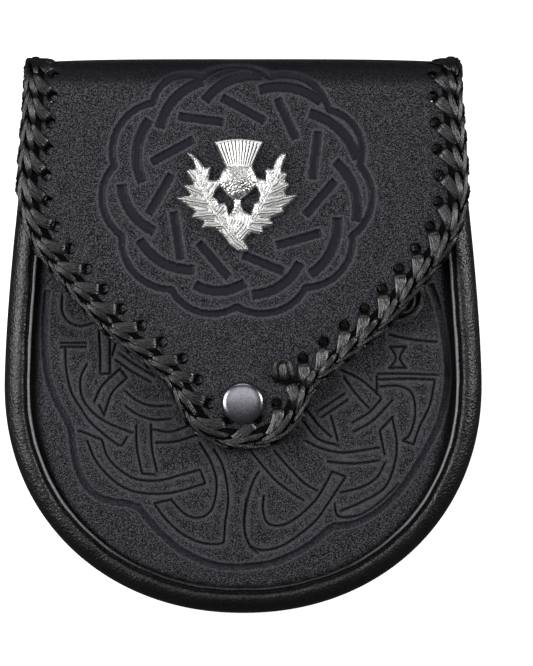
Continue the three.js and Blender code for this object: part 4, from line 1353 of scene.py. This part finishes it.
# The badge, traced in pixels of the photograph. Each shape is one closed outline.
BADGE_SHAPES = {
    "left": [
        (187.5, 153.5), (192, 154.5), (199, 161), (205, 169), (211, 167.5), (209.5, 174), (208.5, 181),
        (214, 181.5), (221, 180), (223, 187), (218, 189), (214.5, 193), (213.5, 198), (217, 200), (219, 205),
        (225, 203.5), (227, 209), (228.5, 215.5), (235, 216),
        (236, 222), (240, 236), (247, 246), (248.5, 250),
        (246, 252), (238, 251), (230, 245), (224, 236), (216, 229.5), (210, 228), (203, 229), (202, 227.5),
        (205, 222.5), (199, 220), (192.5, 218.5), (193, 215.5),
        (197, 212.5), (189, 207), (178, 199.5), (178, 198),
        (185, 197), (192.5, 196.5), (188, 191), (184.5, 187.5),
        (185, 186), (192, 186), (194.5, 184.5), (190, 178),
        (187, 172.5), (188, 170.5), (195, 170.5), (196.5, 168.5), (194, 162), (190, 157.5),
    ],
    "right": [
        (283.5, 154), (285.5, 155), (285, 160), (281.5, 168),
        (281, 173), (286, 173.5), (286.5, 176), (284.5, 182),
        (288.5, 184.5), (288, 187.5), (284, 193), (287, 196.5), (295.5, 194.5), (296.5, 196.5), (291, 203),
        (282, 209), (283.5, 212), (281, 214.5), (272, 218),
        (268, 220.5), (272.5, 222.5), (272, 226), (262, 229),
        (263, 233), (260, 235), (252, 233.5), (247, 237), (243, 243), (240, 240), (236, 232), (236, 222),
        (241, 215.5), (251, 214.5), (253.5, 209), (254.5, 203.5), (259.5, 202), (259.5, 196), (257.5, 189),
        (253, 187), (254.5, 178), (262, 180), (266, 181), (266, 176), (265, 170.5), (268, 169.5), (273, 170),
        (274.5, 165), (277, 159), (281, 155),
    ],
    "stalk": [
        (233.5, 198), (234.5, 207), (232, 213), (228, 216), (231, 228), (238, 238), (245, 228), (250, 215),
        (243.5, 212), (240.5, 206), (241, 198),
    ],
    "bulb": [
        (227, 166), (222, 173), (219, 181), (221, 188), (227, 194.5), (233, 200), (240.5, 200), (247, 195.5),
        (253.5, 189.5), (257, 182), (255.5, 176), (251.5, 166),
    ],
    "crown": [
        (215, 143), (226, 141), (238, 140), (250, 141), (263, 143), (257.5, 155), (252.5, 167), (239, 168.5),
        (226, 167), (220.5, 155),
    ],
}
# The midribs of the leaves, and the lobes: each from its tip to where it meets its midrib.
BADGE_SPINES = [
    [(189, 156), (196, 173), (203, 191), (212, 208), (224, 226), (234, 239), (245, 249)],
    [(283.5, 157), (279, 173), (272, 188), (264, 203), (256, 217), (247, 229), (240, 238)],
]
BADGE_LOBES = [
    [(189, 173), (200, 186)],
    [(187, 187.5), (203, 195)],
    [(181, 199.5), (208, 204)],
    [(195.5, 217), (217, 215)],
    [(205, 227), (226, 226)],
    [(209, 169.5), (202, 188)],
    [(220, 183), (209, 202)],
    [(224, 206), (217, 215)],
    [(232, 218), (229, 230)],
    [(284, 174.5), (274, 186)],
    [(286, 186.5), (270, 194)],
    [(294, 197), (264, 204)],
    [(281, 212.5), (258, 214)],
    [(271, 224), (252, 223)],
    [(261, 232), (247, 229)],
    [(267, 172), (272, 186)],
    [(257, 183), (263, 200)],
    [(256, 205), (258, 213)],
    [(251, 217), (249, 226)],
]
BADGE_CELL = 0.16
LEAF_LOW = 0.7
LEAF_RISE = 1.15
LEAF_EASE = 0.6
LOBE_RISE = 0.4
LEAF_GRAIN = 0.045
VEIN_PITCH = 1.12  # from one cast vein to the next
CUT_HALF = 0.2
CUT_DEPTH = 0.36
VEIN_WAVER = 0.09
BORDER_CUT = 0.62  # from a leaf's outline to the line cut inside it
BULB_LOW = 1.3
BULB_RISE = 2.7
BULB_RADIUS = 6.4
SCALE_PITCH = 1.3
SCALE_DEPTH = 0.32
BADGE_GROWTH = 0.22
BULB_DARK_ROW = 187  # the photograph's row where the bulb's scales are darkest
CROWN_LOW = 1.7
CROWN_RISE = 0.95
CROWN_RIBS = 12
CROWN_APEX = (239.3, 193.8)
CROWN_SPREAD = 0.872  # radians across the whole fan
CROWN_TOP = 19.4  # from the apex to the ends of the grooves between the ribs
RIM_LEVEL = 0.75


def grown(loop, by):
    """A closed outline moved outward."""
    fine = resample(np.vstack([loop, loop[:1]]), 0.25)[:-1]
    side = normals_2d(np.vstack([fine[-1:], fine, fine[:1]]))[1:-1]
    if inside(fine + side * 0.02, fine).mean() > 0.5:
        side = -side
    return fine + side * by


def badge_relief(p, shapes):
    """The height of the cast face at each place, and how dark its finish is."""
    z = np.full(len(p), RIM_LEVEL)
    dark = np.zeros(len(p))
    away = {}
    for key, loop in shapes.items():
        within = inside(p, loop)
        depth = np.zeros(len(p))
        depth[within] = distances(p[within], resample(np.vstack([loop, loop[:1]]), 0.1), 8.0)
        away[key] = depth
    leaf = np.maximum.reduce([away["left"], away["right"], away["stalk"]])
    lobes = np.vstack([resample(photo(spline(line, 1.0)), 0.12) for line in BADGE_SPINES + BADGE_LOBES])
    bent = p + VEIN_WAVER * np.stack([np.sin(1.9 * p[:, 1] + 1), np.sin(1.6 * p[:, 0])], -1)
    aside = distances(bent, lobes, 6.0)
    beside = np.abs(aside % VEIN_PITCH - VEIN_PITCH / 2)
    inner = np.abs(leaf - BORDER_CUT)
    cut = smooth(1 - np.minimum(beside, inner * 1.2) / CUT_HALF) * smooth((leaf - 0.28) / 0.2)
    ridge = LEAF_LOW + LEAF_RISE * smooth(leaf / LEAF_EASE) + LOBE_RISE * smooth(1 - aside / 1.3)
    grain = np.sin(5.1 * p[:, 0] + 2.0 * np.sin(3.7 * p[:, 1]))
    grain *= np.sin(4.6 * p[:, 1] + 1.8 * np.sin(4.1 * p[:, 0]))
    z = np.where(leaf > 0, ridge - CUT_DEPTH * cut + LEAF_GRAIN * grain, z)
    dark = np.where(leaf > 0, 0.62 * cut, dark)
    share = 1 - np.clip(away["bulb"] / BULB_RADIUS, 0, 1)
    bent = p + 0.35 * np.stack([np.sin(2.7 * p[:, 1] + 1), np.sin(2.3 * p[:, 0])], -1)
    turned = np.stack([bent[:, 0] + bent[:, 1], bent[:, 0] - bent[:, 1]], -1)
    turned *= math.pi / (SCALE_PITCH * math.sqrt(2))
    scales = np.abs(np.sin(turned[:, 0]) * np.sin(turned[:, 1]))
    row = (PHOTO_Y - BULB_DARK_ROW) * PHOTO_MM
    low = np.exp(-(((p[:, 1] - row) / 2.4) ** 2))
    bulb = BULB_LOW + BULB_RISE * np.sqrt(1 - share**2) + SCALE_DEPTH * (scales - 1) * (0.4 + 0.6 * low)
    z = np.where(away["bulb"] > 0, np.maximum(bulb, z), z)
    dark = np.where(away["bulb"] > 0, 0.8 * smooth(1.0 - scales * 1.8) * (0.35 + 0.65 * low), dark)
    fan = p - photo(CROWN_APEX)
    turn = np.arctan2(fan[:, 0], fan[:, 1])
    ribs = np.abs(np.cos(turn * math.pi * CROWN_RIBS / CROWN_SPREAD + math.pi / 2))
    ribs = 1 - (1 - ribs) * smooth((CROWN_TOP - np.hypot(fan[:, 0], fan[:, 1])) / 1.4)
    crown = (CROWN_LOW + CROWN_RISE * np.sqrt(ribs)) * smooth(0.35 + away["crown"] / 0.6)
    z = np.where(away["crown"] > 0, np.maximum(crown, np.where(away["bulb"] > 0, z, 0)), z)
    dark = np.where((away["crown"] > 0) & (away["bulb"] == 0), 0.95 * smooth(1.25 - ribs * 1.7), dark)
    return z, dark


def snap_to_rim(flat, border, rim, reach):
    """The points of the stepped border, moved onto the outline where it is near."""
    tree = KDTree(len(rim))
    for i, place in enumerate(rim):
        tree.insert((place[0], place[1], 0), i)
    tree.balance()
    for i in np.nonzero(border)[0]:
        found, _, distance = tree.find((flat[i, 0], flat[i, 1], 0))
        if distance < reach:
            flat[i] = found[:2]


def make_badge():
    where = np.array([[BADGE_ASIDE, BADGE_DOWN - FOLD_REACH]])
    foot = flap_points(where, np.zeros(1))[0, 2] + GAP
    shapes = {key: grown(photo(np.array(loop, float)), BADGE_GROWTH) for key, loop in BADGE_SHAPES.items()}
    rims = [resample(np.vstack([loop, loop[:1]]), 0.08) for loop in shapes.values()]
    low = np.vstack(rims).min(0) - BADGE_CELL
    high = np.vstack(rims).max(0) + BADGE_CELL
    x, y = np.arange(low[0], high[0], BADGE_CELL), np.arange(low[1], high[1], BADGE_CELL)
    places = np.stack(np.meshgrid(x, y), -1)
    flat_places = places.reshape(-1, 2)
    solid = np.zeros(len(flat_places), bool)
    for loop in shapes.values():
        solid |= inside(flat_places, loop)
    solid = solid.reshape(len(y), len(x))
    quads = solid[:-1, :-1] & solid[1:, :-1] & solid[:-1, 1:] & solid[1:, 1:]
    around = np.pad(quads, 1).astype(int)
    touching = around[:-1, :-1] + around[1:, :-1] + around[:-1, 1:] + around[1:, 1:]
    used = touching > 0
    number = np.full(used.shape, -1)
    number[used] = np.arange(used.sum())
    flat = places[used]
    border = (touching < 4)[used]
    # Only the outline of the whole badge counts, not where one shape runs under another.
    rim = np.vstack(rims)
    covers = sum(inside(rim, loop).astype(int) for loop in shapes.values())
    snap_to_rim(flat, border, rim[covers <= 1], 1.5 * BADGE_CELL)
    z, dark = badge_relief(flat, shapes)
    z = np.where(border, np.minimum(z, RIM_LEVEL + 0.4), z)
    count = len(flat)
    verts = np.vstack([np.c_[flat, foot + z], np.c_[flat, np.full(count, foot)]])
    faces = []
    for r, c in zip(*np.nonzero(quads)):
        corners = [number[r, c], number[r, c + 1], number[r + 1, c + 1], number[r + 1, c]]
        faces.append(tuple(corners))
        faces.append(tuple(i + count for i in corners[::-1]))
        for side, (dr, dc) in enumerate(((-1, 0), (0, 1), (1, 0), (0, -1))):
            if not around[r + 1 + dr, c + 1 + dc]:
                i, j = corners[side], corners[(side + 1) % 4]
                faces.append((j, i, i + count, j + count))
    hollow = np.r_[dark, np.ones(count)]
    return mesh_piece("badge_cast", verts, faces, silver, "badge", True, {"hollow": hollow})


# The back


def rounded_box_loop(profile, width, x, edge=0.35):
    """A flat strip that follows a profile in Y and Z, as wide as a strap, with eased edges."""
    half = width / 2
    sections = []
    for dx, shrink in ((-half, edge), (-half + edge, 0), (half - edge, 0), (half, edge)):
        normal = normals_2d(np.vstack([profile[-1:], profile, profile[:1]]))[1:-1]
        moved = profile - normal * shrink
        sections.append(np.c_[np.full(len(profile), x + dx), moved])
    return np.stack(sections, 0)


def make_belt_loops():
    top = HEIGHT - FOLD_REACH - LAP_LENGTH - LOOP_GAP - MIDDLE
    bottom = top - LOOP_PASSAGE - 2 * (LOOP_FOOT + LOOP_RAMP)
    foot = BACK_RECESS - GAP
    half_thick = LOOP_THICK / 2
    for name, side in (("left", -1), ("right", 1)):
        x = side * LOOP_SPACING / 2
        start = [
            (bottom, foot - LOOP_THICK / 2),
            (bottom + LOOP_FOOT - 1.5, foot - LOOP_THICK / 2),
            (bottom + LOOP_FOOT + LOOP_RAMP * 0.5, (foot + 0.5) / 2),
            (bottom + LOOP_FOOT + LOOP_RAMP + 1.5, half_thick + 0.05),
            ((top + bottom) / 2, half_thick),
        ]
        middle = (top + bottom) / 2
        mirror = [(2 * middle - y, z) for y, z in start[-2::-1]]
        line = spline(np.array(start + mirror), 1.0)
        line[:, 1] = np.clip(line[:, 1], half_thick, foot - half_thick)
        normal = normals_2d(line)
        profile = np.vstack([line + normal * half_thick, (line - normal * half_thick)[::-1]])
        profile[:, 1] = np.clip(profile[:, 1], 0, foot)
        sections = rounded_box_loop(profile, LOOP_WIDTH, x)
        verts = sections.reshape(-1, 3)
        faces = outward(swept(sections), verts)
        node = f"belt_loop_{name}"
        made = mesh_piece(f"{node}_strap", verts, faces, back_leather, node, False)
        made.data.shade_smooth()
        made.data.set_sharp_from_angle(angle=math.radians(50))


STITCH_INSET = 1.8  # from the ends of a loop's foot to its stitches


def stitch_row(parts, line, normal, pitch=4.0, length=3.1, radius=0.36):
    """Thread stitches along a 3-D line. The normal points out of the leather."""
    line = resample(line, 0.25)
    run = np.r_[0, np.cumsum(np.linalg.norm(np.diff(line, axis=0), axis=1))]
    for k in range(int(run[-1] / pitch)):
        start = (k + 0.5) * pitch - length / 2
        at = np.linspace(start, start + length, 9)
        path = np.stack([np.interp(at, run, line[:, j]) for j in range(3)], -1)
        t = np.linspace(-1, 1, 9)
        path += np.asarray(normal) * (0.32 * (1 - t**4) - 0.42 * t**8)[:, None]
        verts, faces = tube(path, radius * np.where(np.abs(t) > 0.9, 0.7, 1.0), 7)
        parts.add(verts, outward(faces, verts))


def make_back_stitches():
    parts = Parts()
    lap_half = BODY_TOP_WIDTH / 2 - RIM_WIDTH - 1
    z = LAP_BOTTOM
    top = HEIGHT - FOLD_REACH - MIDDLE
    for down in (LAP_LENGTH - 3.0, LAP_LENGTH - 6.5):
        line = np.array([[-lap_half + 3, top - down, z], [lap_half - 3, top - down, z]])
        stitch_row(parts, line, (0, 0, -1))
    loop_top = top - LAP_LENGTH - LOOP_GAP
    loop_bottom = loop_top - LOOP_PASSAGE - 2 * (LOOP_FOOT + LOOP_RAMP)
    z = BACK_RECESS - GAP - LOOP_THICK
    for side in (-1, 1):
        x = side * LOOP_SPACING / 2
        half = LOOP_WIDTH / 2 - 2.5
        for y in (loop_bottom, loop_top - LOOP_FOOT):
            low, high = y + STITCH_INSET, y + LOOP_FOOT - STITCH_INSET
            corners = [(x - half, low), (x + half, low), (x + half, high), (x - half, high), (x - half, low)]
            corners = np.array([(*corner, z) for corner in corners])
            for a, b in zip(corners[:-1], corners[1:]):
                stitch_row(parts, np.array([a, b]), (0, 0, -1), 2.7, 2.0, 0.3)
    return parts.piece("back_stitches", thread)


def give(node, material):
    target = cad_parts[node]
    target.data.materials.clear()
    target.data.materials.append(material)


make_flap()
make_front_panel()
make_gusset()
make_lacing()
make_badge()
make_snap()
make_belt_loops()
make_back_stitches()
give("back_panel", back_leather)
give("snap_stud", pewter)

# Stage


FLOOR_SIZE = 6
FLOOR_BELOW = 0.0002
FLOOR_COLOR = (0.93, 0.93, 0.93)
FLOOR_ROUGH = 0.9
FLOOR_GLOW = 0.9


def make_floor():
    bpy.ops.mesh.primitive_plane_add(size=FLOOR_SIZE, location=(0, 0, -FLOOR_BELOW))
    floor = bpy.context.object
    floor.name = "floor"
    floor.data.materials.append(plain("floor", FLOOR_COLOR, FLOOR_ROUGH, FLOOR_GLOW))
    floor.visible_glossy = False
    floor.visible_diffuse = False


def area_light(name, place, aim, size, watts):
    lamp = bpy.data.lights.new(name, "AREA")
    lamp.shape = "RECTANGLE"
    lamp.size, lamp.size_y = size
    lamp.energy = watts
    made = bpy.data.objects.new(name, lamp)
    made.location = place
    made.rotation_euler = (Vector(aim) - Vector(place)).to_track_quat("-Z", "Y").to_euler()
    made.visible_camera = False
    bpy.context.scene.collection.objects.link(made)


# The camera looks straight down, from this far over the pouch's front, all in metres.
CAMERA_AWAY = 1.25
CAMERA_FOCUS = 0.036
SENSOR = 36


def make_camera():
    data = bpy.data.cameras.new("camera")
    data.sensor_fit = "VERTICAL"
    data.sensor_height = SENSOR
    data.lens = SENSOR * CAMERA_AWAY / (PHOTO_HEIGHT * PHOTO_MM * MM)
    data.clip_start = 0.05
    made = bpy.data.objects.new("camera", data)
    centre = photo((PHOTO_WIDTH / 2, PHOTO_HEIGHT / 2)) * MM
    made.location = (centre[0], centre[1], CAMERA_FOCUS + CAMERA_AWAY)
    bpy.context.scene.collection.objects.link(made)
    bpy.context.scene.camera = made


# Name, place, what it points at, size and power, in metres and watts.
LAMPS = [
    ("overhead", (0.0, 0.09, 0.62), (0.0, 0.05, 0), (0.40, 0.22), 0.45),
    ("right", (0.66, 0.16, 0.40), (0, 0, 0.02), (0.2, 0.4), 3.2),
    ("left", (-0.55, 0.08, 0.46), (0, 0, 0.02), (0.42, 0.5), 4.2),
    ("top", (0.0, 0.75, 0.6), (0, 0.02, 0.02), (0.6, 0.2), 1.0),
]

make_floor()
make_camera()
for lamp_row in LAMPS:
    area_light(*lamp_row)


def make_world():
    """A dim even sky."""
    world = bpy.data.worlds.new("studio")
    bpy.context.scene.world = world
    world.use_nodes = True
    background = world.node_tree.nodes["Background"]
    background.inputs["Color"].default_value = (0.96, 0.97, 1.0, 1)
    background.inputs["Strength"].default_value = 0.06


make_world()
bpy.context.scene.view_settings.view_transform = "Standard"
